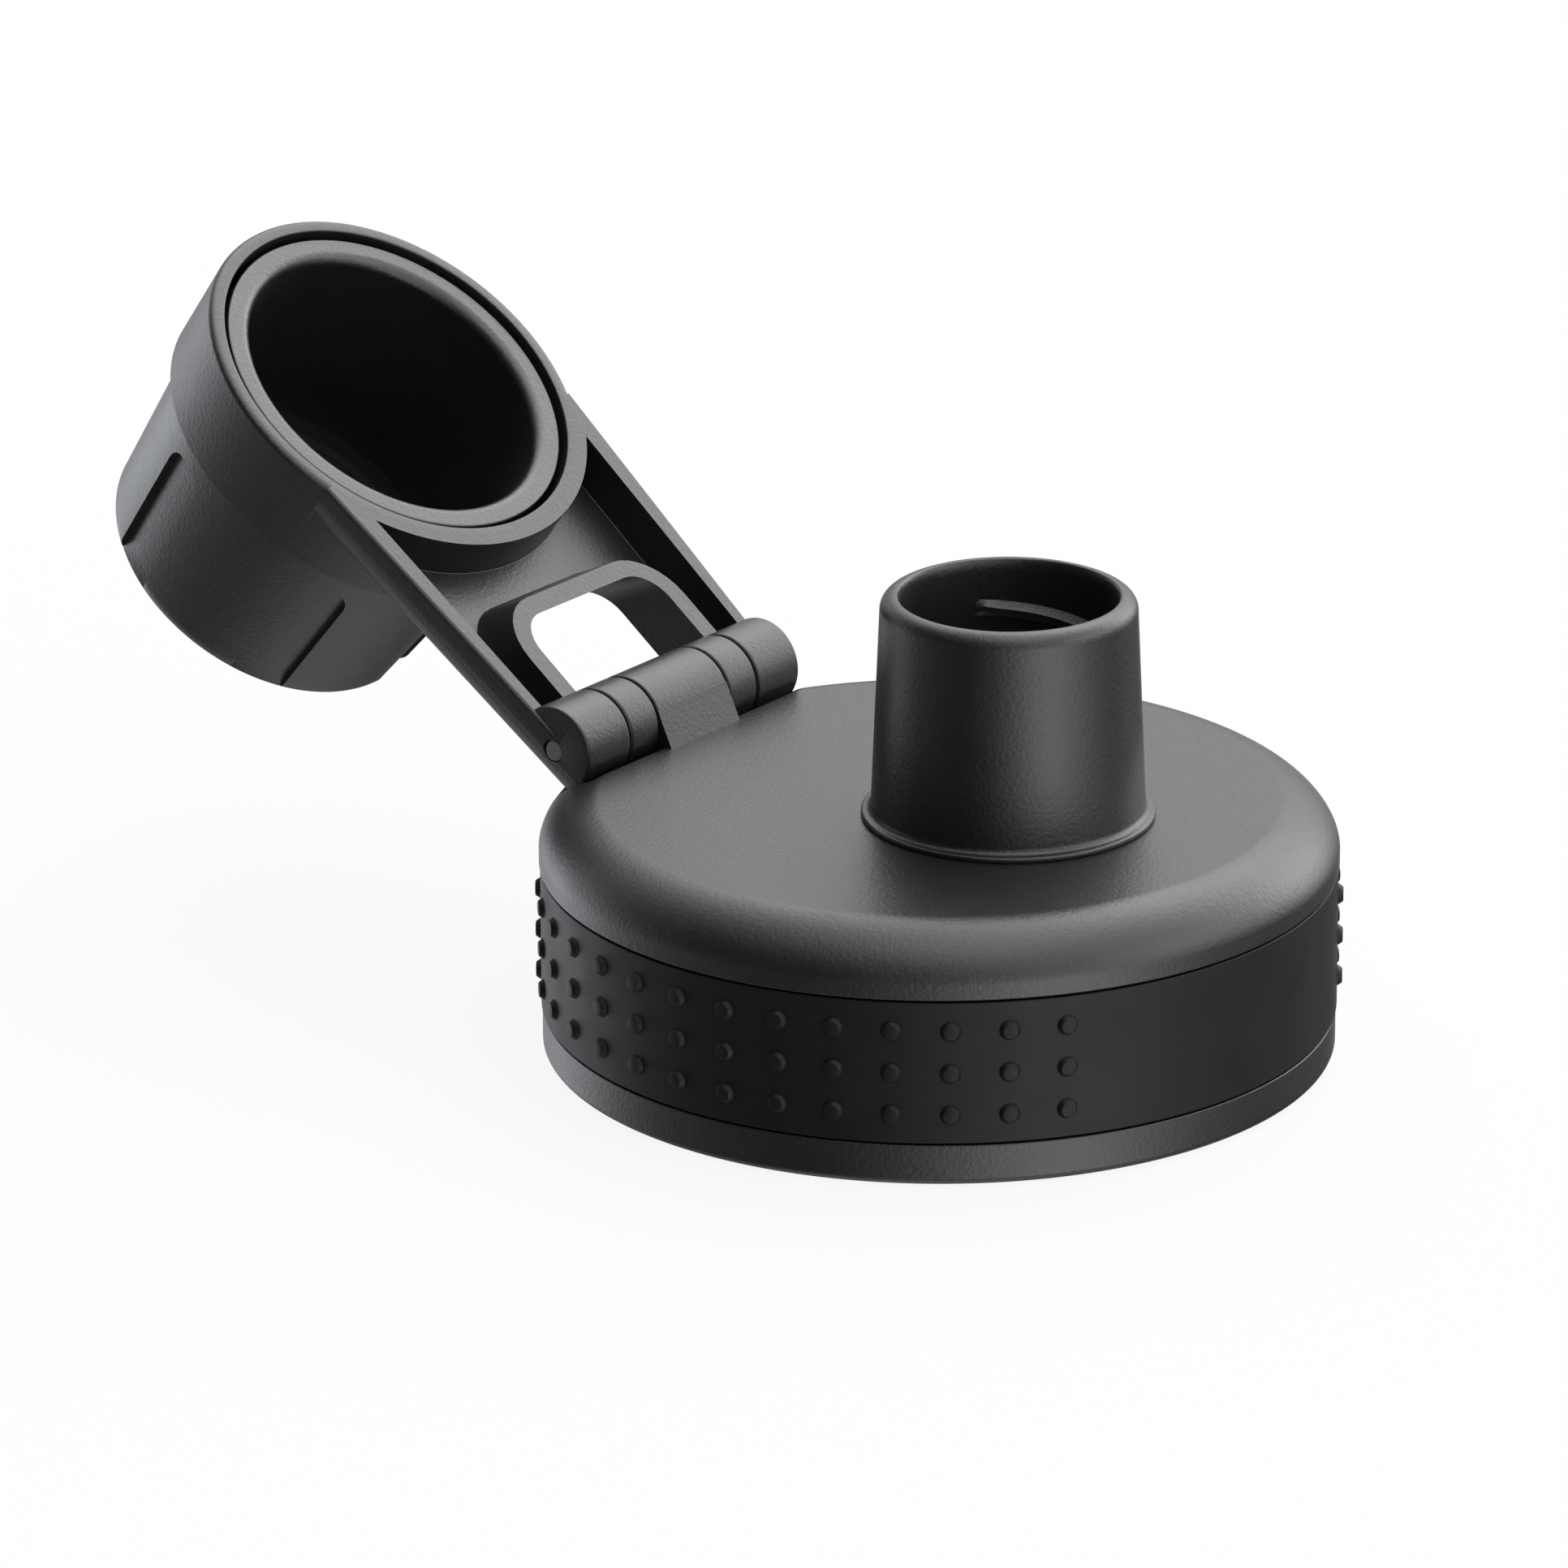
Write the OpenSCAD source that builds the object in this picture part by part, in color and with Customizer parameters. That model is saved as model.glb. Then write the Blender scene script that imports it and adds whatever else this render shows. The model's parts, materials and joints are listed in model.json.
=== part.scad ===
// Screw-on bottle lid with an upright drinking spout, and a twist cap held in
// the ring of a hinged strap. Shown with the strap swung back to its open stop.
// Origin: centre of the lid at its bottom rim. +Z is up, the hinge is towards +Y.

/* [Lid shell] */
// Height from the bottom rim to the flat top
lid_h = 23; // [22.4:0.1:25]
// Height of the foot ring below the grip band
foot_h = 4; // [3:0.1:4.6]
// How far the foot ring stands in from the side of the lid
foot_inset = 0.2; // [0:0.05:0.5]
// Width of the rounding under the foot ring
foot_round_w = 1.9; // [1:0.1:2]
// Height of the rounding under the foot ring
foot_round_h = 1; // [0.6:0.1:1.6]
// Width of the curved shoulder, measured inwards
shoulder_w = 5.2; // [4:0.1:6]
// Height of the curved shoulder
shoulder_h = 4.4; // [3.6:0.1:4.8]
// Fullness of the shoulder curve, 2 for an ellipse
shoulder_power = 1.7; // [1.5:0.05:2.4]
// Thickness of the side wall behind the grip band
side_wall = 1.8; // [1.4:0.1:2.2]
// Thickness of the top
top_wall = 2; // [1.6:0.1:2.6]

/* [Grip band] */
// Height of the band's seat
band_h = 13.2; // [12:0.1:13.6]
// Thickness of the band
band_t = 1.2; // [0.9:0.1:1.5]
// How far the band lies in from the side of the lid
band_inset = 0.1; // [0:0.05:0.3]
// Gap above and below the band
band_gap = 0.12; // [0.05:0.01:0.3]
// Rows of studs
stud_rows = 3; // [1:1:3]
// Distance between the rows of studs
stud_row_step = 3.8; // [3:0.1:4]
// Angle between neighbouring studs in a row
stud_angle_step = 8.3; // [6:0.1:12]
// Angle that stays bare at the front
bare_angle = 69.5; // [50:0.5:120]
// Diameter of a stud at the band
stud_d = 1.9; // [1.4:0.05:2.4]
// Diameter of a stud's flat top
stud_top_d = 1.1; // [0.8:0.05:1.3]
// How far a stud stands out
stud_rise = 0.45; // [0.3:0.05:0.6]

/* [Spout] */
// Distance of the spout's axis in front of the lid's axis
spout_offset = 7.5; // [6.5:0.1:8]
// Height of the spout above the flat top
spout_h = 20.1; // [16:0.1:23]
// Outside radius at the foot
spout_base_r = 11.97; // [11.7:0.05:12.4]
// How much narrower than its foot the spout is under the rounded rim
spout_taper = 0.77; // [0.37:0.01:1.17]
// Thickness of the spout's wall at its foot
spout_wall = 2.52; // [2.37:0.01:3.37]
// Rounding of the rim's outer edge
spout_edge = 1.35; // [0.8:0.05:1.4]
// Depth of the rim's flared inner edge
spout_flare_h = 1.2; // [0.8:0.1:1.6]
// Width of the rim's flared inner edge
spout_flare_w = 0.33; // [0.1:0.01:0.35]
// How far the collar at the spout's foot stands out
foot_collar_w = 0.83; // [0.6:0.01:1.2]
// Height of the edge of the collar at the spout's foot
foot_collar_h = 0.55; // [0.4:0.05:0.9]
// Radius of the fillet between the spout and its foot collar
foot_fillet_r = 0.6; // [0.3:0.05:0.65]
// Thickness of the ring that seals the spout to the liner
spout_seal_t = 0.8; // [0.6:0.1:1.2]

/* [Neck liner] */
// Radius of the socket for the bottle's neck
neck_r = 29.6; // [28.8:0.1:30]
// Depth of the socket, from the bottom rim to the gasket
neck_depth = 12.1; // [10:0.1:12.6]
// Thickness of the liner's skirt
liner_wall = 2.2; // [1.6:0.1:2.6]
// Thickness of the liner's disc
liner_top = 1.5; // [1.2:0.1:2]
// Height of the collar that holds the spout's tube
tube_collar_h = 3.5; // [2.5:0.1:3.8]
// Thickness of the collar that holds the spout's tube
tube_collar_t = 1.3; // [1:0.1:1.6]
// Width of the neck gasket
gasket_w = 3; // [2.4:0.1:4]
// Thickness of the neck gasket
gasket_t = 1.4; // [1:0.1:2]
// How far the gasket's seat stands in from the socket's wall
gasket_step = 0.3; // [0.2:0.05:0.5]
// Thickness of the rib inside the neck gasket
gasket_rib_t = 1; // [0.8:0.1:1.4]

/* [Hinge] */
// Distance of the hinge in from the side of the lid
hinge_inset = 3.9; // [3.6:0.1:4.4]
// Height of the hinge above the flat top
hinge_rise = 1.6; // [1.4:0.05:2]
// Radius of the hinge barrel
barrel_r = 4.05; // [3.7:0.05:4.3]
// Half the length of the hinge barrel
barrel_half = 15.05; // [14.5:0.05:15.5]
// Half the width of the post in the middle of the hinge
post_half = 4.9; // [4:0.1:5.4]
// Length of the spacer ring on each side of the post
ring_len = 3.9; // [3.2:0.05:4.2]
// Side gap between neighbouring hinge pieces
knuckle_gap = 0.17; // [0.1:0.01:0.25]
// Radius of the hinge pin
pin_r = 1.05; // [0.8:0.05:1.3]
// Radial clearance where the pin turns
pin_fit = 0.06; // [0.03:0.01:0.1]
// How far the pin's ends lie inside the barrel's ends
pin_inset = 0.35; // [0.2:0.05:1]
// Clearance between the barrel and the pocket in the lid
pocket_gap = 0.8; // [0.5:0.05:0.9]
// Clearance beyond each end of the barrel
pocket_end_gap = 0.95; // [0.6:0.05:1.4]
// Distance of the post's foot in front of the hinge
post_foot = 5.2; // [4.6:0.1:6]
// Slope of the open strap above the horizontal
open_tilt = 37.65; // [34:0.05:45]

/* [Cap strap] */
// Clearance between the closed strap and the flat top
strap_gap = 0.2; // [0.1:0.05:0.4]
// Thickness of the web between the rails
web_t = 1.4; // [1:0.1:2]
// Angle at which each rail flares outwards
rail_flare = 3.75; // [3:0.05:4.2]
// Thickness of a rail at the hinge
rail_t = 1.35; // [1:0.05:1.8]
// Angle between a rail's two faces
rail_taper = 1.4; // [0:0.1:2]
// Rounding of a rail's outer edge at the back
rail_round = 1.5; // [0.8:0.1:2]
// Length of the window in the strap, from the hinge
window_len = 12.1; // [10.5:0.1:13]
// Thickness of the frame round the window
frame_t = 1.85; // [1.4:0.05:2.2]
// Rounding of the window's corners
window_corner = 3.1; // [2:0.1:4]
// Lean of the window's walls
window_lean = 27; // [15:1:30]
// Thickness of the strap's ring
ring_t = 1.4; // [1.2:0.05:1.8]
// How much narrower the ring is at its far end
ring_taper = 0.45; // [0.1:0.05:0.5]
// Depth of the strap's ring
ring_depth = 9.2; // [8:0.1:10]
// Thickness of the collar where the strap meets the ring
collar_t = 1.95; // [1.6:0.05:2.4]
// Thickness of the lip that keeps the cap in the ring
keeper_t = 1.7; // [1.2:0.1:2.2]
// How far the lip reaches under the cap's flange
keeper_reach = 0.55; // [0.4:0.05:0.7]

/* [Twist cap] */
// Clearance between the cap and the spout's rim as the strap swings
swing_gap = 0.16; // [0.1:0.01:0.3]
// Width of the cap's rim
cap_rim_w = 2.4; // [2.2:0.05:2.8]
// How far the cap's rim lies inside the ring's face
cap_rim_inset = 0.5; // [0.2:0.05:0.8]
// Radial gap between the cap's rim and the ring
cap_rim_gap = 0.55; // [0.3:0.05:0.8]
// Clearance of the cap at the keeper lip
cap_fit = 0.2; // [0.1:0.05:0.3]
// How much narrower the cap is at its far end
cap_taper = 1.5; // [0.8:0.1:1.6]
// Rounding of the cap's far end
cap_edge = 2; // [1.2:0.1:2.4]
// Thickness of the cap's end wall
cap_end_t = 2; // [1.6:0.1:2.6]
// Depth of the hollow behind the plug
cap_hollow = 2.6; // [1.5:0.1:4]
// Finger recesses round the cap
recess_count = 6; // [4:1:8]
// Angle of the first finger recess
recess_turn = -17.5; // [-60:0.5:60]
// Width of a finger recess
recess_w = 5.2; // [4:0.1:6]
// Depth of a finger recess
recess_depth = 0.7; // [0.4:0.05:0.8]
// Distance from the ring to the start of a recess
recess_start = 2.5; // [1.5:0.1:4]
// Rounding of a finger recess's two inner corners
recess_corner = 1.9; // [1:0.1:2]
// Thickness of the plug's disc
plug_disc_t = 1.6; // [1.2:0.1:2]
// How far the plug reaches into the closed spout
plug_reach = 1.6; // [1:0.1:2]
// Thickness of the plug's wall
plug_wall = 1.5; // [1.2:0.1:2]
// Width of the cap's seal
cap_seal_w = 3.2; // [2.8:0.1:3.6]
// Thickness of the cap's seal
cap_seal_t = 0.7; // [0.5:0.1:1]

/* [Hidden] */
$fn = 96;

// Clearance between fixed pieces that fit into each other
seat_fit = 0.1;
// Small rounding of moulded edges
soft = 0.35;
// How deep a stud is rooted in the band
stud_root = 0.1;
// Rounding of the foot collar's edge
foot_edge_r = 0.15;
// Rounding of the ring's edge on the strap's face
ring_edge_r = 0.6;
// Overlap that keeps cuts clean
over = 1;
arc_steps = 6;
shoulder_steps = 12;

// Angle round the ring, from the hinge side, at which the rails run into it
rail_end_angle = 66;
// Angle below the horizontal at which the post leaves the back of the barrel
post_back_angle = 44;

// Lid heights and radii
lid_r = neck_r + liner_wall + seat_fit + side_wall + band_t + band_inset;
foot_r = lid_r - foot_inset;
band_top = foot_h + band_h;
band_r = lid_r - band_inset;
seat_r = band_r - band_t;
shell_in_r = seat_r - side_wall;
shoulder_z = lid_h - shoulder_h;
ceiling_z = lid_h - top_wall;
liner_r = shell_in_r - seat_fit;
gasket_seat_r = neck_r - gasket_step;
gasket_r = gasket_seat_r - seat_fit;
gasket_top = neck_depth + gasket_t;
liner_z = gasket_top + liner_top;

// Spout, in the lid's frame
spout_y = -spout_offset;
spout_top_r = spout_base_r - spout_taper;
spout_bore_r = spout_base_r - spout_wall;
spout_top = lid_h + spout_h;
spout_foot = liner_z + spout_seal_t;

// Hinge
hinge_y = lid_r - hinge_inset;
hinge_z = lid_h + hinge_rise;
pocket_r = barrel_r + pocket_gap;
ring_start = post_half + knuckle_gap;
knuckle_start = ring_start + ring_len + knuckle_gap;

// Strap and cap, in the strap's own frame: Y along the strap from the hinge, Z towards the
// face that lies on the lid when closed
reach = hinge_y - spout_y;
face = hinge_rise - strap_gap;
back = -barrel_r;
web = back + web_t;
rim_w = hinge_rise - spout_h;
cap_rim = face - cap_rim_inset;
swing_r = norm([reach + spout_top_r - spout_edge, rim_w + spout_edge]) + spout_edge + swing_gap;
cap_bore_r = swing_r - reach;
cap_rim_r = cap_bore_r + cap_rim_w;
ring_in_r = cap_rim_r + cap_rim_gap;
ring_r = ring_in_r + ring_t;
collar_r = ring_in_r + collar_t;
ring_end = face - ring_depth;
keeper_in_r = cap_rim_r - keeper_reach;
groove_r = keeper_in_r - cap_fit;
body_r = ring_r - ring_taper - ring_t + cap_fit;
body_start = ring_end - cap_fit;
rail_root = barrel_half + 0.1;
seal_face = rim_w - cap_fit;
cap_floor = seal_face - cap_seal_t;
plug_back = cap_floor - plug_disc_t;
cap_end = plug_back - cap_hollow - cap_end_t;
plug_r = reach - sqrt(pow(reach - spout_bore_r, 2) + pow(rim_w, 2) - pow(rim_w + plug_reach, 2)) - swing_gap;

// Points of a quarter or part of a rounded corner, with its own width and height
function bend(centre, size, from, to, power = 2, steps = arc_steps) = [
    for (i = [0:steps])
        let (a = from + (to - from) * i / steps)
        [centre[0] + size[0] * sign(cos(a)) * pow(abs(cos(a)), 2 / power),
         centre[1] + size[1] * sign(sin(a)) * pow(abs(sin(a)), 2 / power)]
];

// Places a child of the strap's frame at the open stop
module at_open() {
    translate([0, hinge_y, hinge_z]) rotate([open_tilt, 0, 0]) children();
}

// Solid of revolution about the hinge axis, from its length profile [radius, x]
module about_hinge(points) {
    rotate([0, 90, 0]) rotate_extrude() polygon(points);
}

// Barrel piece between two places along the hinge, with soft end edges
module barrel(from, to, r = barrel_r) {
    about_hinge(concat(
        [[0, from]],
        bend([r - soft, from + soft], [soft, soft], -90, 0, steps = 4),
        bend([r - soft, to - soft], [soft, soft], 0, 90, steps = 4),
        [[0, to]]));
}

// Bore along the hinge axis
module pin_bore(from, to, r) {
    translate([from, 0, 0]) rotate([0, 90, 0]) cylinder(r = r, h = to - from);
}

// Pocket that the barrel sits in, with rounded ends
module hinge_pocket(grow = 0) {
    half = barrel_half + pocket_end_gap + grow;
    r = pocket_r + grow;
    round = pocket_gap + soft;
    about_hinge(concat(
        [[0, -half]],
        bend([r - round, round - half], [round, round], -90, 0, steps = 4),
        bend([r - round, half - round], [round, round], 0, 90, steps = 4),
        [[0, half]]));
}

// Outer form of the lid, with the seat of the grip band turned into its side
module lid_form() {
    rotate_extrude() polygon(concat(
        [[0, 0]],
        bend([foot_r - foot_round_w, foot_round_h], [foot_round_w, foot_round_h], -90, 0),
        [[foot_r, foot_h], [seat_r, foot_h], [seat_r, band_top], [lid_r, band_top]],
        bend([lid_r - shoulder_w, shoulder_z], [shoulder_w, shoulder_h], 0, 90, shoulder_power, shoulder_steps),
        [[0, lid_h]]));
}

// Post in the middle of the hinge, with a flat front that slopes down to the lid
module hinge_post() {
    slope = atan2(hinge_rise, post_foot) + asin(barrel_r / norm([post_foot, hinge_rise]));
    touch = 90 + slope;
    back_y = hinge_y + barrel_r * cos(post_back_angle);
    intersection() {
        union() {
            translate([0, hinge_y, hinge_z]) barrel(-post_half, post_half);
            translate([-post_half, 0, 0]) rotate([90, 0, 90]) linear_extrude(2 * post_half) polygon([
                [hinge_y - post_foot, ceiling_z],
                [hinge_y - post_foot, lid_h],
                [hinge_y + barrel_r * cos(touch), hinge_z + barrel_r * sin(touch)],
                [hinge_y, hinge_z],
                [back_y, hinge_z - barrel_r * sin(post_back_angle)],
                [back_y, ceiling_z - top_wall]]);
        }
        cylinder(r = lid_r - band_inset, h = spout_top);
    }
}

module lid_shell() color([0.17, 0.17, 0.18]) difference() {
    union() {
        difference() {
            lid_form();
            translate([0, hinge_y, hinge_z]) hinge_pocket();
            difference() {
                translate([0, 0, -over]) cylinder(r = shell_in_r, h = ceiling_z + over);
                translate([0, hinge_y, hinge_z]) hinge_pocket(side_wall);
            }
        }
        hinge_post();
    }
    translate([0, spout_y, ceiling_z - over]) cylinder(r = spout_base_r + seat_fit, h = top_wall + 2 * over);
    translate([0, hinge_y, hinge_z]) pin_bore(-post_half - over, post_half + over, pin_r + pin_fit);
}

// Stud that stands out from the band towards +X, rooted in the band
module stud() {
    translate([band_r - stud_root, 0, 0]) rotate([0, 90, 0])
        cylinder(d1 = stud_d, d2 = stud_top_d, h = stud_root + stud_rise, $fn = 16);
}

module grip_band() color([0.11, 0.11, 0.11]) {
    low = foot_h + band_gap;
    high = band_top - band_gap;
    columns = round((360 - bare_angle) / stud_angle_step);
    difference() {
        translate([0, 0, low]) cylinder(r = band_r, h = high - low);
        translate([0, 0, low - over]) cylinder(r = seat_r, h = high - low + 2 * over);
    }
    for (row = [0:stud_rows - 1], column = [0:columns])
        translate([0, 0, (low + high + (stud_rows - 1 - 2 * row) * stud_row_step) / 2])
            rotate([0, 0, (bare_angle - 180) / 2 + column * (360 - bare_angle) / columns]) stud();
}

module spout() color([0.16, 0.16, 0.16]) translate([0, spout_y, 0]) rotate_extrude() polygon(concat(
    [[spout_bore_r, spout_foot], [spout_base_r, spout_foot], [spout_base_r, lid_h]],
    [[spout_base_r + foot_collar_w, lid_h]],
    bend([spout_base_r + foot_collar_w - foot_edge_r, lid_h + foot_collar_h - foot_edge_r],
         [foot_edge_r, foot_edge_r], 0, 90, steps = 4),
    bend([spout_base_r + foot_fillet_r, lid_h + foot_collar_h + foot_fillet_r],
         [-foot_fillet_r, -foot_fillet_r], 90, 0),
    bend([spout_top_r - spout_edge, spout_top - spout_edge], [spout_edge, spout_edge], 0, 90),
    bend([spout_bore_r + spout_flare_w, spout_top - spout_flare_h], [-spout_flare_w, -spout_flare_h],
         270, 360)));

module spout_seal() color([0.3, 0.3, 0.3]) translate([0, spout_y, liner_z]) difference() {
    cylinder(r = spout_base_r, h = spout_seal_t);
    translate([0, 0, -over]) cylinder(r = spout_bore_r, h = spout_seal_t + 2 * over);
}

module neck_liner() color([0.2, 0.2, 0.2]) difference() {
    collar_in_r = spout_base_r + seat_fit;
    rib_r = gasket_r - gasket_w;
    union() {
        rotate_extrude() polygon([
            [0, gasket_top], [rib_r - gasket_rib_t, gasket_top],
            [rib_r - gasket_rib_t, neck_depth], [rib_r, neck_depth], [rib_r, gasket_top],
            [gasket_seat_r, gasket_top], [gasket_seat_r, neck_depth],
            [neck_r, neck_depth], [neck_r, 0], [liner_r, 0], [liner_r, liner_z], [0, liner_z]]);
        translate([0, spout_y, liner_z]) cylinder(r = collar_in_r + tube_collar_t, h = tube_collar_h);
    }
    translate([0, spout_y, liner_z]) cylinder(r = collar_in_r, h = tube_collar_h + over);
    translate([0, spout_y, gasket_top - over]) cylinder(r = spout_bore_r, h = liner_top + 2 * over);
}

module neck_gasket() color([0.75, 0.75, 0.75]) translate([0, 0, neck_depth]) difference() {
    cylinder(r = gasket_r, h = gasket_t);
    translate([0, 0, -over]) cylinder(r = gasket_r - gasket_w, h = gasket_t + 2 * over);
}

module hinge_pin() color("silver") at_open() {
    half = barrel_half - pin_inset;
    about_hinge(concat(
        [[0, -half]],
        bend([0, pin_r / 2 - half], [pin_r, pin_r / 2], -90, 0, steps = 5),
        bend([0, half - pin_r / 2], [pin_r, pin_r / 2], 0, 90, steps = 5),
        [[0, half]]));
}

// Spacer ring between the post and a knuckle of the strap
module spacer(from, to) color([0.2, 0.2, 0.21]) translate([0, hinge_y, hinge_z]) difference() {
    barrel(from, to);
    pin_bore(from - over, to + over, pin_r + pin_fit);
}

module hinge_ring_left() spacer(-ring_start - ring_len, -ring_start);

module hinge_ring_right() spacer(ring_start, ring_start + ring_len);

// Outline of a U with rounded corners: half width, length, corner radius
module arch(half, len, corner) {
    translate([-half, -over - barrel_r]) square([2 * half, len - corner + over + barrel_r]);
    translate([corner - half, -over]) square([2 * (half - corner), len + over]);
    for (side = [-1, 1]) translate([side * (half - corner), len - corner]) circle(r = corner);
}

// Leaning column through the strap, whose outline on the strap's face is the arch
module leaning(half, len, corner) {
    depth = 4 * barrel_r;
    translate([0, 0, face]) rotate([window_lean, 0, 0]) translate([0, 0, -depth])
        linear_extrude(2 * depth) arch(half, len * cos(window_lean), corner);
}

// Plate of the strap with its two rails, the window and the frame round it
module tray() {
    flare = tan(rail_flare);
    inner = tan(rail_flare - rail_taper);
    far = reach - ring_r * cos(rail_end_angle);
    near = rail_root;
    difference() {
        translate([0, 0, back]) linear_extrude(face - back) polygon([
            [-near, 0], [-near - far * flare, far], [near + far * flare, far], [near, 0]]);
        difference() {
            translate([0, 0, web]) linear_extrude(face - web + over) polygon([
                [rail_t - near, 0], [rail_t - near - far * inner, far],
                [near + far * inner - rail_t, far], [near - rail_t, 0]]);
            leaning(knuckle_start + frame_t, window_len + frame_t, window_corner + frame_t);
            translate([0, reach, back]) cylinder(r = collar_r, h = face - back + 2 * over);
        }
        leaning(knuckle_start, window_len, window_corner);
        for (side = [-1, 1])
            translate([side * near, 0, back]) rotate([0, 0, -side * rail_flare]) rotate([90, 0, 0])
                translate([0, 0, -far - barrel_r]) linear_extrude(far + 2 * barrel_r) difference() {
                    translate([-rail_round, -over]) square([2 * rail_round, rail_round + over]);
                    translate([-side * rail_round, rail_round]) circle(r = rail_round);
                }
    }
}

module cap_strap() color([0.24, 0.24, 0.25]) at_open() difference() {
    union() {
        tray();
        for (side = [-1, 1])
            barrel(side < 0 ? -barrel_half : knuckle_start, side < 0 ? -knuckle_start : barrel_half);
        translate([0, reach, 0]) rotate_extrude() polygon(concat(
            [[0, ring_end], [ring_r - ring_taper, ring_end]],
            bend([ring_r - ring_edge_r, face - ring_edge_r], [ring_edge_r, ring_edge_r], 0, 90),
            [[0, face]]));
    }
    translate([0, reach, 0]) rotate_extrude() polygon(concat(
        [[0, ring_end - over], [keeper_in_r, ring_end - over], [keeper_in_r, ring_end + keeper_t],
         [ring_in_r, ring_end + keeper_t]],
        bend([ring_in_r + soft, face - soft], [-soft, soft], 0, 90, steps = 4),
        [[ring_in_r + soft, face + over], [0, face + over]]));
    pin_bore(-barrel_half - over, barrel_half + over, pin_r);
}

// Outer form of the cap from its groove to its far end, drawn in by a given amount
module cap_form(draw_in = 0) {
    end_r = body_r - cap_taper;
    rotate_extrude() polygon(concat(
        [[0, body_start], [body_r - draw_in, body_start]],
        bend([end_r - cap_edge, cap_end + cap_edge], [cap_edge - draw_in, -cap_edge], 0, 90),
        [[0, cap_end]]));
}

// One finger recess: a slot with two round corners, open at the cap's far end
module finger_slot() {
    len = body_start - recess_start - cap_end;
    translate([body_r / 2, 0, 0]) rotate([90, 0, 90]) linear_extrude(body_r) translate([0, cap_end])
        arch(recess_w / 2, len, recess_corner);
}

module twist_cap() color([0.2, 0.2, 0.2]) at_open() translate([0, reach, 0]) difference() {
    lip = cap_rim_w / 4;
    union() {
        rotate_extrude() polygon(concat(
            [[0, body_start - over], [groove_r, body_start - over], [groove_r, ring_end + keeper_t + cap_fit],
             [cap_rim_r, ring_end + keeper_t + cap_fit]],
            bend([cap_rim_r - lip, cap_rim - lip], [lip, lip], 0, 90, steps = 4),
            [[0, cap_rim]]));
        difference() {
            cap_form();
            difference() {
                for (i = [0:recess_count - 1])
                    rotate([0, 0, recess_turn + i * 360 / recess_count]) finger_slot();
                cap_form(recess_depth);
            }
        }
    }
    rotate_extrude() polygon(concat(
        [[0, plug_back], [cap_bore_r, plug_back]],
        bend([cap_bore_r + lip, cap_rim - lip], [-lip, lip], 0, 90, steps = 4),
        [[cap_bore_r + lip, cap_rim + over], [0, cap_rim + over]]));
    translate([0, 0, cap_end + cap_end_t]) cylinder(r = cap_bore_r - plug_wall, h = cap_hollow + over);
}

module cap_plug() color([0.22, 0.22, 0.22]) at_open() translate([0, reach, 0]) {
    nose = rim_w + plug_reach;
    rotate_extrude() polygon(concat(
        [[0, plug_back], [cap_bore_r, plug_back], [cap_bore_r, cap_floor], [plug_r, cap_floor]],
        bend([plug_r - soft, nose - soft], [soft, soft], 0, 90, steps = 4),
        [[plug_r - plug_wall, nose], [plug_r - plug_wall, cap_floor], [0, cap_floor]]));
}

module cap_seal() color([0.7, 0.7, 0.7]) at_open() translate([0, reach, cap_floor]) difference() {
    cylinder(r = plug_r + cap_seal_w, h = cap_seal_t);
    translate([0, 0, -over]) cylinder(r = plug_r, h = cap_seal_t + 2 * over);
}

lid_shell();
grip_band();
spout();
spout_seal();
neck_liner();
neck_gasket();
hinge_pin();
hinge_ring_left();
hinge_ring_right();
cap_strap();
twist_cap();
cap_plug();
cap_seal();
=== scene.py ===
"""A bottle lid with an upright drinking spout and a twist cap on a hinged strap."""

import json
from math import asin, atan2, copysign, cos, hypot, pi, radians, sin, sqrt, tan
from types import SimpleNamespace

import bpy
from bpy.props import FloatProperty, FloatVectorProperty, IntProperty, PointerProperty
from mathutils import Matrix, Vector


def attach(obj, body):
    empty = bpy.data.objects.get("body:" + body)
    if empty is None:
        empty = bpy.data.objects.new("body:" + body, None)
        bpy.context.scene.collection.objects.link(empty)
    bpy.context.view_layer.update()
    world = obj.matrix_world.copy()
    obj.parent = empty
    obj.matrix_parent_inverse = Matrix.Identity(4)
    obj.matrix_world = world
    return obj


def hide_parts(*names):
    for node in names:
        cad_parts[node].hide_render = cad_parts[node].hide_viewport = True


bl_info = {
    "name": "Spout Lid Maker",
    "version": (1, 0, 0),
    "blender": (4, 5, 0),
    "location": "View3D > Sidebar > Spout Lid",
    "description": "Builds a bottle lid with a spout and a twist cap on a hinged strap",
    "category": "Object",
}

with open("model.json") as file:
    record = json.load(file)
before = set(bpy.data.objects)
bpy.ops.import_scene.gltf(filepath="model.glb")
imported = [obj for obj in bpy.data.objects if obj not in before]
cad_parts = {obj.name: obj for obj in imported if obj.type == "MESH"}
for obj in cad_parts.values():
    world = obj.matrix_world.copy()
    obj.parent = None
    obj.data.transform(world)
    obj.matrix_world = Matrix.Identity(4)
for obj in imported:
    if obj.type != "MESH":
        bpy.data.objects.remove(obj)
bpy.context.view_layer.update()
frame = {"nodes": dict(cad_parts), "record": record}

MM = 0.001
MERGE = 1e-6             # vertices this near are one
HAIR = 0.02 * MM         # keeps surfaces from lying in one plane
EMBED = 0.3 * MM         # how deep a joined piece sits
BEYOND = 1 * MM          # how far a tool reaches past what it cuts
SEAT_FIT = 0.1 * MM      # clearance between pieces that sit in one another
RAIL_OUT = 0.1 * MM      # how far the rails stand past the barrel's ends
TIP = 0.2 * MM           # first ring of a bar's end
FLAT = 4 * MM            # width of the outer ring of a flat face
CORE = 5 * MM            # first ring of the cap's and plug's ends
ROUND_SIDES = 224
SPOUT_SIDES = 160
SMALL_SIDES = 96
STUD_SIDES = 16
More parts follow.
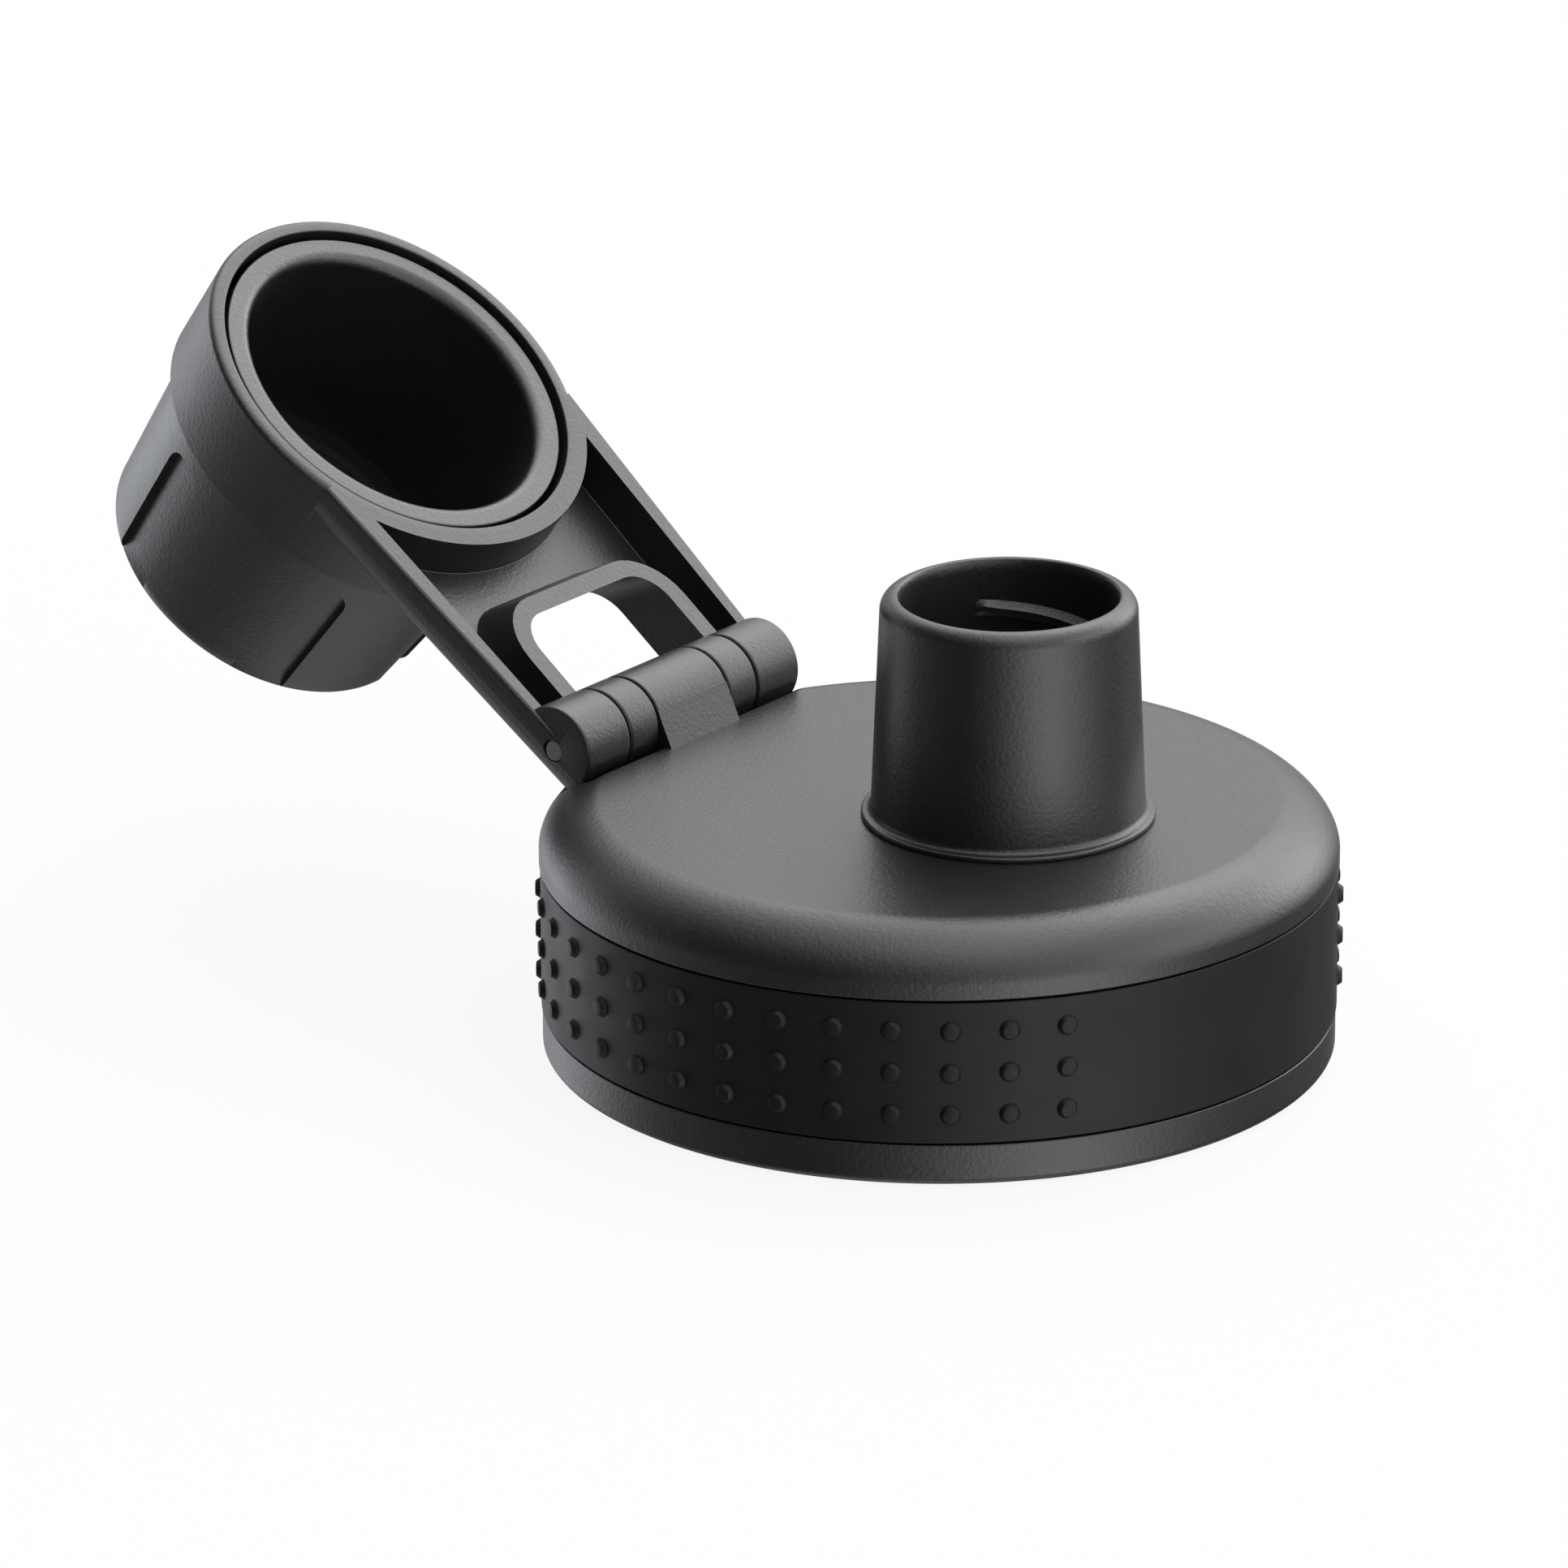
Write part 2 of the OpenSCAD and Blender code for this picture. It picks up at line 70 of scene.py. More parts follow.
THREAD_STEPS = 96        # in one turn
THREAD_FADE = 0.04       # turns over which a thread rises
THREAD_SWELL = 0.6       # power of that rise, under 1 for a blunt end
THREAD_SINK = 0.06 * MM  # how deep the ends sink into the wall
THREAD_CREST = 0.16      # half the crest's share of the width
RAIL_END = radians(66)   # where the rails run into the ring
POST_BACK = radians(44)
SHARP = radians(32)
NOISE_SPAN = (0.3, 0.7)  # what a noise mostly stays in
GRAIN_SIZE = 2600.0      # features a metre, as all noise sizes
BLOTCH_SIZE = 260.0
RUBBER_GRAIN, RUBBER_BLOTCH = 4200.0, 180.0
STEEL_LINES = 9000.0
STAGE_SIZE = 6.0
FLOOR_GLOW = 0.9         # how far the floor's white hides its shading
SENSOR = 36.0
CLIP = (0.01, 50.0)
BACKDROP_WHITE = radians(9)
BACKDROP_EDGE = radians(18)
WHITE = (1.0, 1.0, 1.0)
# Azimuth from the camera's and elevation in degrees, tightness, strength, colour
SOFT_LIGHTS = [
    (157, 54, 6.1, 5.5, WHITE),
    (126, 18, 18.4, 5.2, WHITE),
    (73, 21, 12.0, 3.5, WHITE),
    (34, -22, 9.4, 4.2, (1.0, 0.97, 0.94)),
    (30, 68, 14.0, 1.8, WHITE),
    (20, 32, 12.0, 1.3, (1.0, 0.99, 0.98)),
    (0, 76, 12.0, 1.3, WHITE),
    (0, -90, 6.0, 1.0, WHITE),
    (-77, -18, 12.0, 0.3, WHITE),
    (-130, -8, 12.0, 2.9, (0.92, 0.95, 1.0)),
]


def size(what, value):
    """A length in metres that a user can set, given in millimetres."""
    return FloatProperty(name=what, default=value * MM, min=0.0, unit="LENGTH", precision=5)


def turn_angle(what, degrees):
    """An angle that a user can set, given in degrees."""
    return FloatProperty(name=what, default=radians(degrees), unit="ROTATION")


def number(what, value):
    """A plain number that a user can set."""
    return FloatProperty(name=what, default=value, min=0.0)


def count(what, value):
    """A number of pieces that a user can set."""
    return IntProperty(name=what, default=value, min=1)


def finish_colour(what, grey):
    """A base colour that a user can set, given as a grey."""
    return FloatVectorProperty(name=what, subtype="COLOR", size=3, default=(grey,) * 3, min=0.0, max=1.0)


class LidSizes(bpy.types.PropertyGroup):
    """Sizes of the lid's shell, its grip band and the socket under it."""
    height: size("Height of the flat top above the bottom rim", 23.0)
    foot_height: size("Height of the foot ring", 4.0)
    foot_inset: size("How far the foot ring stands in", 0.2)
    foot_round_w: size("Width of the rounding under the foot", 1.9)
    foot_round_h: size("Height of the rounding under the foot", 1.0)
    shoulder_w: size("Width of the curved shoulder", 5.2)
    shoulder_h: size("Height of the curved shoulder", 4.4)
    shoulder_power: number("Fullness of the shoulder, 2 for an ellipse", 1.7)
    side_wall: size("Thickness behind the grip band", 1.8)
    top_wall: size("Thickness of the flat top", 2.0)
    soft: size("Rounding of the shell's edges", 0.22)
    seat_edge: size("Rounding of the edges beside the band", 0.15)
    band_height: size("Height of the band's seat", 13.2)
    band_edge: size("Rounding of the band's edges", 0.12)
    band_wall: size("Thickness of the grip band", 1.2)
    band_inset: size("How far the band lies in from the shell", 0.1)
    band_gap: size("Gap above and below the band", 0.2)
    neck_radius: size("Radius of the socket for the bottle's neck", 29.6)
    neck_depth: size("Depth of the socket up to the gasket", 12.1)
    liner_wall: size("Thickness of the liner's skirt", 2.2)
    liner_top: size("Thickness of the liner's disc", 1.5)
    collar_h: size("Height of the collar round the spout's tube", 3.5)
    collar_t: size("Thickness of the collar round the spout's tube", 1.3)
    gasket_w: size("Width of the neck gasket", 3.0)
    gasket_t: size("Thickness of the neck gasket", 1.4)
    gasket_edge: size("Rounding of the neck gasket", 0.25)
    gasket_step: size("How far the gasket's seat stands in", 0.3)
    rib: size("Thickness of the rib inside the gasket", 1.0)
    thread_pitch: size("Rise of the neck thread in one turn", 4.2)
    thread_rise: size("How far the neck thread stands in", 1.0)
    thread_start: turn_angle("Angle of the neck thread's upper end", 200.0)
    thread_drop: size("Depth of the neck thread's start below the gasket", 1.6)
    thread_width: size("Width of the neck thread at the wall", 2.0)
    thread_turns: number("Turns of the neck thread", 1.9)


class StudSizes(bpy.types.PropertyGroup):
    """Sizes of the studs on the grip band."""
    rows: count("Rows of studs", 3)
    row_step: size("Distance between rows", 3.8)
    angle_step: turn_angle("Angle between neighbours", 8.3)
    bare_angle: turn_angle("Angle that stays bare at the front", 69.5)
    diameter: size("Diameter of a stud at the band", 1.84)
    top: size("Diameter of a stud's flat top", 1.24)
    rise: size("How far a stud stands out", 0.45)
    soft: size("Softness of a stud's edge", 0.08)


class SpoutSizes(bpy.types.PropertyGroup):
    """Sizes of the drinking spout."""
    offset: size("Distance in front of the lid's axis", 7.5)
    height: size("Height above the flat top", 20.1)
    top_radius: size("Outside radius under the rim", 11.2)
    base_radius: size("Outside radius at the foot", 11.97)
    bore_radius: size("Radius of the bore", 9.45)
    edge: size("Rounding of the rim's outer edge", 1.35)
    flare_h: size("Depth of the rim's inner flare", 1.2)
    flare_w: size("Width of the rim's inner flare", 0.33)
    collar_w: size("How far the foot collar stands out", 0.83)
    collar_h: size("Height of the foot collar", 0.55)
    collar_low: size("Rounding of the foot collar's lower edge", 0.2)
    collar_high: size("Rounding of the foot collar's upper edge", 0.22)
    collar_flat: size("Straight part of the foot collar's side", 0.1)
    collar_fillet: size("Fillet between the foot collar and the tube", 0.55)
    seal_wall: size("Thickness of the seal under the tube", 0.8)
    seal_edge: size("Rounding of the seal", 0.1)
    thread_drop: size("Depth of the thread's start below the rim", 4.3)
    thread_rise: size("How far the thread stands into the bore", 0.8)
    thread_pitch: size("Rise of the thread in one turn", 6.0)
    thread_start: turn_angle("Angle of the thread's upper end", 56.0)
    thread_width: size("Width of the thread at the wall", 1.5)
    thread_turns: number("Turns of the thread", 1.3)


class HingeSizes(bpy.types.PropertyGroup):
    """Sizes and place of the hinge."""
    inset: size("Distance in from the lid's side", 3.9)
    rise: size("Height above the flat top", 1.6)
    radius: size("Radius of the hinge barrel", 4.05)
    half: size("Half the length of the barrel", 15.05)
    post_half: size("Half the width of the middle post", 4.9)
    ring_length: size("Length of a spacer ring", 3.9)
    side_gap: size("Gap between neighbouring pieces", 0.17)
    pin_radius: size("Radius of the steel pin", 1.05)
    pin_fit: size("Clearance where the pin turns", 0.06)
    pin_inset: size("How far the pin lies inside the barrel's ends", 0.1)
    pocket_gap: size("Clearance round the barrel", 0.8)
    pocket_round: size("Rounding of the pocket's ends", 1.15)
    post_edge: size("Rounding of the post's ends", 0.25)
    edge: size("Rounding of the knuckles and spacer rings", 0.3)
    pin_edge: size("Bevel of the pin's ends", 0.2)
    pocket_end: size("Clearance beyond the barrel's ends", 0.95)
    post_foot: size("Distance of the post's foot in front of the hinge", 5.2)
    open_tilt: turn_angle("Slope of the strap at its open stop", 37.65)


class StrapSizes(bpy.types.PropertyGroup):
    """Sizes of the strap and its ring."""
    gap: size("Clearance between the closed strap and the lid", 0.2)
    web: size("Thickness of the web between the rails", 1.4)
    flare: turn_angle("Angle of each rail", 3.75)
    rail: size("Thickness of a rail at the hinge", 1.35)
    rail_taper: turn_angle("Angle between a rail's faces", 1.4)
    rail_round: size("Rounding of a rail's outer back edge", 4.4)
    rail_edge: size("Rounding of a rail's outer edge on the face", 0.55)
    fillet: size("Fillet between the web and what stands on it", 0.6)
    window: size("Length of the window from the hinge", 12.1)
    window_frame: size("Thickness of the frame round the window", 1.85)
    window_corner: size("Rounding of the window's corners", 3.1)
    window_lean: turn_angle("Lean of the window's walls", 27.0)
    ring_wall: size("Thickness of the ring", 1.4)
    ring_taper: size("How much narrower the ring is at its far end", 0.45)
    ring_depth: size("Depth of the ring", 9.2)
    ring_edge: size("Rounding of the ring's face", 0.6)
    ring_soft: size("Bevel of the ring's far edge", 0.2)
    bore_soft: size("Rounding of the ring's inner edge", 0.15)
    collar: size("Thickness of the collar between strap and ring", 1.95)
    keeper_wall: size("Thickness of the lip that keeps the cap", 1.7)
    keeper_reach: size("How far the lip reaches in", 0.55)
    soft: size("Rounding of the moulded edges", 0.25)


class CapSizes(bpy.types.PropertyGroup):
    """Sizes of the twist cap."""
    swing_gap: size("Clearance past the spout's rim", 0.16)
    rim: size("Width of the cap's rim", 2.4)
    rim_inset: size("How far the rim lies inside the ring", 0.5)
    rim_gap: size("Gap between the rim and the ring", 0.55)
    lip: size("Rounding of the rim's outer edge", 0.2)
    flare: size("Rounding of the rim's inner edge", 1.0)
    shoulder: size("Rounding of the edge below the keeper groove", 0.15)
    fit: size("Clearance at the keeper lip", 0.2)
    taper: size("How much narrower the far end is", 1.5)
    edge: size("Rounding of the far end", 2.0)
    end_wall: size("Thickness of the end", 2.0)
    hollow: size("Depth of the space behind the plug", 2.6)
    recesses: count("Finger recesses", 6)
    recess_turn: turn_angle("Angle of the first recess", -17.5)
    recess_w: size("Width of a recess", 5.2)
    recess_depth: size("Depth of a recess", 0.7)
    recess_start: size("Distance from the ring to a recess", 2.5)
    recess_corner: size("Rounding of a recess's upper corners", 1.9)
    soft: size("Rounding of the moulded edges", 0.2)
    plug_disc: size("Thickness of the plug's disc", 1.6)
    plug_reach: size("How far the plug enters the spout", 1.6)
    plug_edge: size("Rounding of the plug's nose", 0.35)
    plug_wall: size("Thickness of the plug's wall", 1.5)
    seal_w: size("Width of the cap's seal", 3.2)
    seal_wall: size("Thickness of the cap's seal", 0.7)
    seal_edge: size("Rounding of the cap's seal", 0.15)


class Finishes(bpy.types.PropertyGroup):
    """Base colours of the materials."""
    shell: finish_colour("Grained charcoal plastic", 0.011)
    band: finish_colour("Black rubber", 0.006)
    spout: finish_colour("Grained charcoal plastic", 0.010)
    strap: finish_colour("Satin charcoal plastic", 0.012)
    cap: finish_colour("Grained charcoal plastic", 0.011)
    # The liner's black is darker than the charcoal plastic: painted shade for the plug deep inside the
    # cap.
    liner: finish_colour("Smooth black plastic darkened as painted shade", 0.006)
    seal: finish_colour("Black silicone", 0.012)
    pin: finish_colour("Plain steel", 0.2)


class StageSettings(bpy.types.PropertyGroup):
    """Camera and light."""
    azimuth: turn_angle("Camera's place round the lid", -53.0)
    elevation: turn_angle("Camera's height above the horizon", 21.277)
    distance: number("Camera's distance in metres", 1.00575)
    lens: number("Focal length in millimetres", 262.57)
    pan: turn_angle("Camera's turn to the side", -0.778)
    tilt: turn_angle("Camera's turn up or down", -1.234)
    roll: turn_angle("Camera's roll", -0.116)
    aim_drop: size("Height of the point that the camera circles", 0.948)
    gloss_light: number("Strength of the soft lights in reflections", 1.0)
    matt_light: number("Strength of the soft lights on matt surfaces", 0.55)


def derived(scene):
    """The sizes a user sets, and those that follow from them, as in the part's own frame."""
    lid, spout, hinge = scene.lid_sizes, scene.spout_sizes, scene.hinge_sizes
    strap, cap = scene.strap_sizes, scene.cap_sizes
    d = SimpleNamespace(scene=scene, lid=lid, stud=scene.stud_sizes, spout=spout, hinge=hinge,
                        strap=strap, cap=cap)
    d.lid_r = (lid.neck_radius + lid.liner_wall + SEAT_FIT + lid.side_wall
               + lid.band_wall + lid.band_inset)
    d.foot_r = d.lid_r - lid.foot_inset
    d.band_top = lid.foot_height + lid.band_height
    d.band_r = d.lid_r - lid.band_inset
    d.seat_r = d.band_r - lid.band_wall
    d.shell_in_r = d.seat_r - lid.side_wall
    d.ceiling = lid.height - lid.top_wall
    d.liner_r = d.shell_in_r - SEAT_FIT
    d.gasket_r = lid.neck_radius - lid.gasket_step - SEAT_FIT
    d.gasket_top = lid.neck_depth + lid.gasket_t
    d.liner_top = d.gasket_top + lid.liner_top
    d.spout_top = lid.height + spout.height
    d.spout_foot = d.liner_top + spout.seal_wall
    d.hinge_y = d.lid_r - hinge.inset
    d.hinge_z = lid.height + hinge.rise
    d.ring_start = hinge.post_half + hinge.side_gap
    d.knuckle_start = d.ring_start + hinge.ring_length + hinge.side_gap
    d.reach = d.hinge_y + spout.offset
    d.face = hinge.rise - strap.gap
    d.back = -hinge.radius
    d.web = d.back + strap.web
    d.rim_w = hinge.rise - spout.height
    d.cap_rim = d.face - cap.rim_inset
    corner = hypot(d.reach + spout.top_radius - spout.edge, d.rim_w + spout.edge)
    d.bore_r = corner + spout.edge + cap.swing_gap - d.reach
    d.rim_r = d.bore_r + cap.rim
    d.ring_in_r = d.rim_r + cap.rim_gap
    d.ring_r = d.ring_in_r + strap.ring_wall
    d.collar_r = d.ring_in_r + strap.collar
    d.ring_end = d.face - strap.ring_depth
    d.keeper_r = d.rim_r - strap.keeper_reach
    d.groove_r = d.keeper_r - cap.fit
    d.body_r = d.ring_r - strap.ring_taper - strap.ring_wall + cap.fit
    d.body_start = d.ring_end - cap.fit
    d.rail_root = hinge.half + RAIL_OUT
    d.seal_face = d.rim_w - cap.fit
    d.floor = d.seal_face - cap.seal_wall
    d.plug_back = d.floor - cap.plug_disc
    d.cap_end = d.plug_back - cap.hollow - cap.end_wall
    near = (d.reach - spout.bore_radius) ** 2 + d.rim_w ** 2
    d.plug_r = d.reach - sqrt(near - (d.rim_w + cap.plug_reach) ** 2) - cap.swing_gap
    d.at_hinge = shift(0, d.hinge_y, d.hinge_z)
    d.at_open = d.at_hinge @ turn("X", hinge.open_tilt)
    d.at_ring = shift(0, d.reach, 0)
    d.at_cap = d.at_open @ d.at_ring
    d.at_spout = shift(0, -spout.offset, 0)
    d.along_x = turn("Y", radians(90))
    d.side_on = Matrix(((0, 0, 1, 0), (1, 0, 0, 0), (0, 1, 0, 0), (0, 0, 0, 1)))
    return d


def bend(centre, reach, start, end, steps=8, power=2.0):
    """Points of a rounded corner. Its reach is one length, or a width and a height."""
    wide, high = reach if isinstance(reach, tuple) else (reach, reach)
    points = []
    for i in range(steps + 1):
        angle = radians(start + (end - start) * i / steps)
        across, up = cos(angle), sin(angle)
        points.append((centre[0] + wide * copysign(abs(across) ** (2 / power), across),
                       centre[1] + high * copysign(abs(up) ** (2 / power), up)))
    return points


def tongue(half, low, high, corner):
    """An outline of a strip between two heights, with rounded upper corners."""
    return ([(half, low)] + bend((half - corner, high - corner), corner, 0, 90)
            + bend((corner - half, high - corner), corner, 90, 180) + [(-half, low)])


def turn(axis, angle):
    """A rotation about an axis of the frame."""
    return Matrix.Rotation(angle, 4, axis)


def shift(x, y, z):
    """A move along the frame's axes."""
    return Matrix.Translation((x, y, z))


def direction(azimuth, elevation):
    """The way to a place round the lid."""
    return sin(azimuth) * cos(elevation), -cos(azimuth) * cos(elevation), sin(elevation)


def clear_selection():
    """Leaves nothing selected, in object mode."""
    bpy.ops.object.select_all(action="DESELECT")


def only(piece):
    """Makes one piece the selected and active one."""
    clear_selection()
    piece.select_set(True)
    bpy.context.view_layer.objects.active = piece


def open_edit():
    """Enters edit mode with everything selected."""
    bpy.ops.object.mode_set(mode="EDIT")
    bpy.ops.mesh.select_all(action="SELECT")


def close_edit():
    """Turns every face outwards and leaves edit mode."""
    bpy.ops.mesh.select_all(action="SELECT")
    bpy.ops.mesh.normals_make_consistent(inside=False)
    bpy.ops.object.mode_set(mode="OBJECT")


def polygon(name, points):
    """A flat face through points."""
    clear_selection()
    bpy.ops.mesh.primitive_circle_add(vertices=len(points), radius=MM, fill_type="NGON")
    piece = bpy.context.object
    piece.name = name
    for vertex, point in zip(piece.data.vertices, points):
        vertex.co = point
    return piece


def turned(name, outline, sides=ROUND_SIDES, ring=False):
    """A turned piece about the Z axis: a circle is extruded along the outline.

    A solid's outline starts and ends at a flat face on the axis; a ring's outline closes on itself.
    """
    radius, height = outline[0]
    clear_selection()
    bpy.ops.mesh.primitive_circle_add(vertices=sides, radius=radius, location=(0, 0, height),
                                      fill_type="NOTHING" if ring else "NGON")
    piece = bpy.context.object
    piece.name = name
    open_edit()
    for next_radius, next_height in outline[1:] + (outline[:1] if ring else []):
        rise = next_height - height
        bpy.ops.mesh.extrude_region_move(TRANSFORM_OT_translate={"value": (0, 0, rise)})
        scale = next_radius / radius
        bpy.ops.transform.resize(value=(scale, scale, 1), center_override=(0, 0, next_height))
        radius, height = next_radius, next_height
    if ring:
        bpy.ops.mesh.select_all(action="SELECT")
        bpy.ops.mesh.remove_doubles(threshold=MERGE)
    close_edit()
    place(piece, Matrix())
    return piece


def place(piece, matrix):
    """Moves a piece to its place in the lid's frame and leaves its object at the origin."""
    only(piece)
    piece.matrix_world = matrix @ piece.matrix_world
    bpy.ops.object.transform_apply(location=True, rotation=True, scale=True)
    return piece


def modify(piece, kind, **settings):
    """Adds a modifier and applies it."""
    only(piece)
    modifier = piece.modifiers.new(kind.lower(), kind)
    for key, value in settings.items():
        setattr(modifier, key, value)
    bpy.ops.object.modifier_apply(modifier=modifier.name)
    return piece


def combine(piece, tool, operation="DIFFERENCE"):
    """Cuts a piece with a tool, or joins the tool to it. The tool is used up."""
    modify(piece, "BOOLEAN", operation=operation, solver="EXACT", object=tool)
    bpy.data.objects.remove(tool)
    return modify(piece, "WELD", merge_threshold=MERGE)


def soften(piece, width, segments=3, angle=40.0):
    """Rounds the edges of a piece that are sharper than an angle."""
    return modify(piece, "BEVEL", width=width, segments=segments, limit_method="ANGLE",
                  angle_limit=radians(angle), use_clamp_overlap=True, miter_outer="MITER_ARC",
                  harden_normals=False)


def finish_piece(piece, body, slot, nodes=()):
    """Shades a piece, paints it and fixes it to its body."""
    only(piece)
    bpy.ops.object.shade_smooth_by_angle(angle=SHARP)
    modify(piece, "WEIGHTED_NORMAL", keep_sharp=True)
    piece.data.materials.clear()
    piece.data.materials.append(material(slot))
    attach(piece, body)
    if nodes:
        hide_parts(*nodes)
    return piece


def prism(name, corners, low, high, matrix=None):
    """A solid of an outline in the XY plane, from low to high along Z."""
    piece = polygon(name, [(x, y, low) for x, y in corners])
    open_edit()
    bpy.ops.mesh.extrude_region_move(TRANSFORM_OT_translate={"value": (0, 0, high - low)})
    close_edit()
    return place(piece, matrix or Matrix())


def cylinder(name, radius, low, high, sides=SMALL_SIDES):
    """A plain round bar or disc along Z."""
    return turned(name, [(radius, low), (radius, high)], sides)


def bar(name, low, high, radius, edge, matrix):
    """A round bar along Z with rounded ends, brought to its place."""
    outline = [(TIP, low)]
    outline += bend((radius - edge, low + edge), edge, -90, 0, 5)
    outline += bend((radius - edge, high - edge), edge, 0, 90, 5)
    outline += [(TIP, high)]
    return place(turned(name, outline, SMALL_SIDES), matrix)


def tube(name, low, high, inner, outer, edge, sides=SMALL_SIDES):
    """A ring about the Z axis with rounded edges."""
    outline = [(inner + edge, low), (outer - edge, low)]
    outline += bend((outer - edge, low + edge), edge, -90, 0, 3)[1:]
    outline += bend((outer - edge, high - edge), edge, 0, 90, 3)
    outline += bend((inner + edge, high - edge), edge, 90, 180, 3)
    outline += bend((inner + edge, low + edge), edge, 180, 270, 3)[:-1]
    return turned(name, outline, sides, ring=True)


def thread(name, sizes, radius, top, matrix):
    """A thread that stands in from a round wall and fades out at both ends.

    It starts below the top and runs down, clockwise seen from above.
    """
    rise, width, turns = sizes.thread_rise, sizes.thread_width, round(sizes.thread_turns, 2)
    steps = int(THREAD_STEPS * turns)
    crest = width * THREAD_CREST
    corners = [(radius + EMBED, width / 2), (radius, width / 2), (radius - rise, crest),
               (radius - rise, -crest), (radius, -width / 2), (radius + EMBED, -width / 2)]
    piece = polygon(name, [(across, 0, up) for across, up in corners])
    bpy.ops.object.mode_set(mode="EDIT")
    bpy.ops.mesh.delete(type="ONLY_FACE")
    bpy.ops.object.mode_set(mode="OBJECT")
    modify(piece, "SCREW", axis="Z", angle=-2 * pi * turns, screw_offset=-sizes.thread_pitch * turns,
           steps=steps, render_steps=steps, use_merge_vertices=False)
    for index, vertex in enumerate(piece.data.vertices):
        share = index // len(corners) / steps
        along = min(share, 1 - share) * turns
        height = min(1.0, along / THREAD_FADE) ** THREAD_SWELL
        flat = Vector((vertex.co.x, vertex.co.y, 0))
        inward = max(0.0, radius - flat.length)
        if inward > 0:
            flat *= (radius - inward * height + THREAD_SINK * (1 - height)) / flat.length
            vertex.co.x, vertex.co.y = flat.x, flat.y
    open_edit()
    bpy.ops.mesh.fill_holes(sides=0)
    close_edit()
    start = shift(0, 0, top - sizes.thread_drop)
    return place(piece, matrix @ start @ turn("Z", sizes.thread_start))


def join(pieces, name):
    """Makes one piece of several, each a closed shell of its own."""
    clear_selection()
    for piece in pieces:
        piece.select_set(True)
    bpy.context.view_layer.objects.active = pieces[0]
    bpy.ops.object.join()
    pieces[0].name = name
    return pieces[0]


class Field:
    """A socket in a material's nodes, with sums written as Python."""

    def __init__(self, paint, socket):
        self.paint = paint
        self.socket = socket

    def __add__(self, other):
        return self.paint.maths("ADD", self, other)

    def __sub__(self, other):
        return self.paint.maths("SUBTRACT", self, other)

    def __mul__(self, other):
        return self.paint.maths("MULTIPLY", self, other)


class Paint:
    """A material or world and its nodes."""

    def __init__(self, owner):
        self.owner = owner
        owner.use_nodes = True
        self.tree = owner.node_tree
        self.shader = self.tree.nodes.get("Principled BSDF")

    def node(self, kind, settings=None, out=0, **values):
        """Adds a node: its settings first, then the values or links of its sockets."""
        made = self.tree.nodes.new(kind)
        for key, value in (settings or {}).items():
            setattr(made, key, value)
        for key, value in values.items():
            self.feed(made.inputs[int(key[1:]) if key[1:].isdigit() else key.replace("_", " ")], value)
        return Field(self, made.outputs[out])

    def feed(self, socket, value):
        """Gives a socket a value, or a link from a field."""
        if isinstance(value, Field):
            self.tree.links.new(value.socket, socket)
        else:
            socket.default_value = value

    def maths(self, operation, first, second):
        """A sum of two fields or numbers."""
        return self.node("ShaderNodeMath", {"operation": operation}, i0=first, i1=second)

    def noise(self, scale, detail=2.0, roughness=0.5, stretch=(1, 1, 1)):
        """Noise on the piece's own coordinates, about 0.5 on average. Scale is features a metre."""
        where = self.node("ShaderNodeTexCoord", out=3)
        where = self.node("ShaderNodeMapping", Vector=where, Scale=stretch)
        return self.node("ShaderNodeTexNoise", Vector=where, Scale=scale, Detail=detail,
                         Roughness=roughness)

    def rays(self, *kinds):
        """1 for rays of the kinds named, such as those from the camera, and 0 for the rest."""
        path = self.tree.nodes.new("ShaderNodeLightPath")
        found = [Field(self, path.outputs["Is %s Ray" % kind]) for kind in kinds]
        return self.maths("MINIMUM", sum(found[1:], found[0]), 1.0)

    def ramp(self, field, low, high, to_low=0.0, to_high=1.0):
        """A field's stretch from low to high, brought to other limits."""
        return self.node("ShaderNodeMapRange", {"clamp": True}, i0=field, i1=low, i2=high,
                         i3=to_low, i4=to_high)

    def vary(self, noise, middle, swing):
        """A value that follows a noise up and down."""
        return self.ramp(noise, *NOISE_SPAN, middle - swing, middle + swing)

    def tint(self, noise, colour, swing):
        """A colour that follows a noise, lighter and darker."""
        return self.node("ShaderNodeMix", {"data_type": "RGBA"}, out=2, i0=self.ramp(noise, *NOISE_SPAN),
                         i6=shade(colour, 1 - swing), i7=shade(colour, 1 + swing))

    def set(self, **values):
        """Sets or links the shader's sockets."""
        for key, value in values.items():
            self.feed(self.shader.inputs[key.replace("_", " ")], value)

    def bump(self, height, distance):
        """Feeds a height, of this many metres, to the shader's normal."""
        self.set(Normal=self.node("ShaderNodeBump", Height=height, Distance=distance))


def shade(colour, factor):
    """A colour made lighter or darker, with alpha."""
    return tuple(channel * factor for channel in colour) + (1.0,)


def moulded(name, colour, roughness=0.38, grain=0.04 * MM, specular=0.5):
    """Charcoal plastic with the fine blasted texture of a mould."""
    paint = Paint(bpy.data.materials.new(name))
    fine = paint.noise(GRAIN_SIZE, roughness=0.6)
    broad = paint.noise(BLOTCH_SIZE, detail=3.0)
    paint.set(Base_Color=paint.tint(broad, colour, 0.06),
              Roughness=paint.vary(fine * 0.6 + broad * 0.4, roughness, 0.03),
              Specular_IOR_Level=specular)
    paint.bump(fine, grain)


def rubber(name, colour, roughness, specular):
    """Soft rubber with a faint uneven surface."""
    paint = Paint(bpy.data.materials.new(name))
    fine = paint.noise(RUBBER_GRAIN)
    broad = paint.noise(RUBBER_BLOTCH, detail=3.0)
    paint.set(Base_Color=paint.tint(broad, colour, 0.08),
              Roughness=paint.vary(broad, roughness, 0.04), Specular_IOR_Level=specular)
    paint.bump(fine, 0.004 * MM)


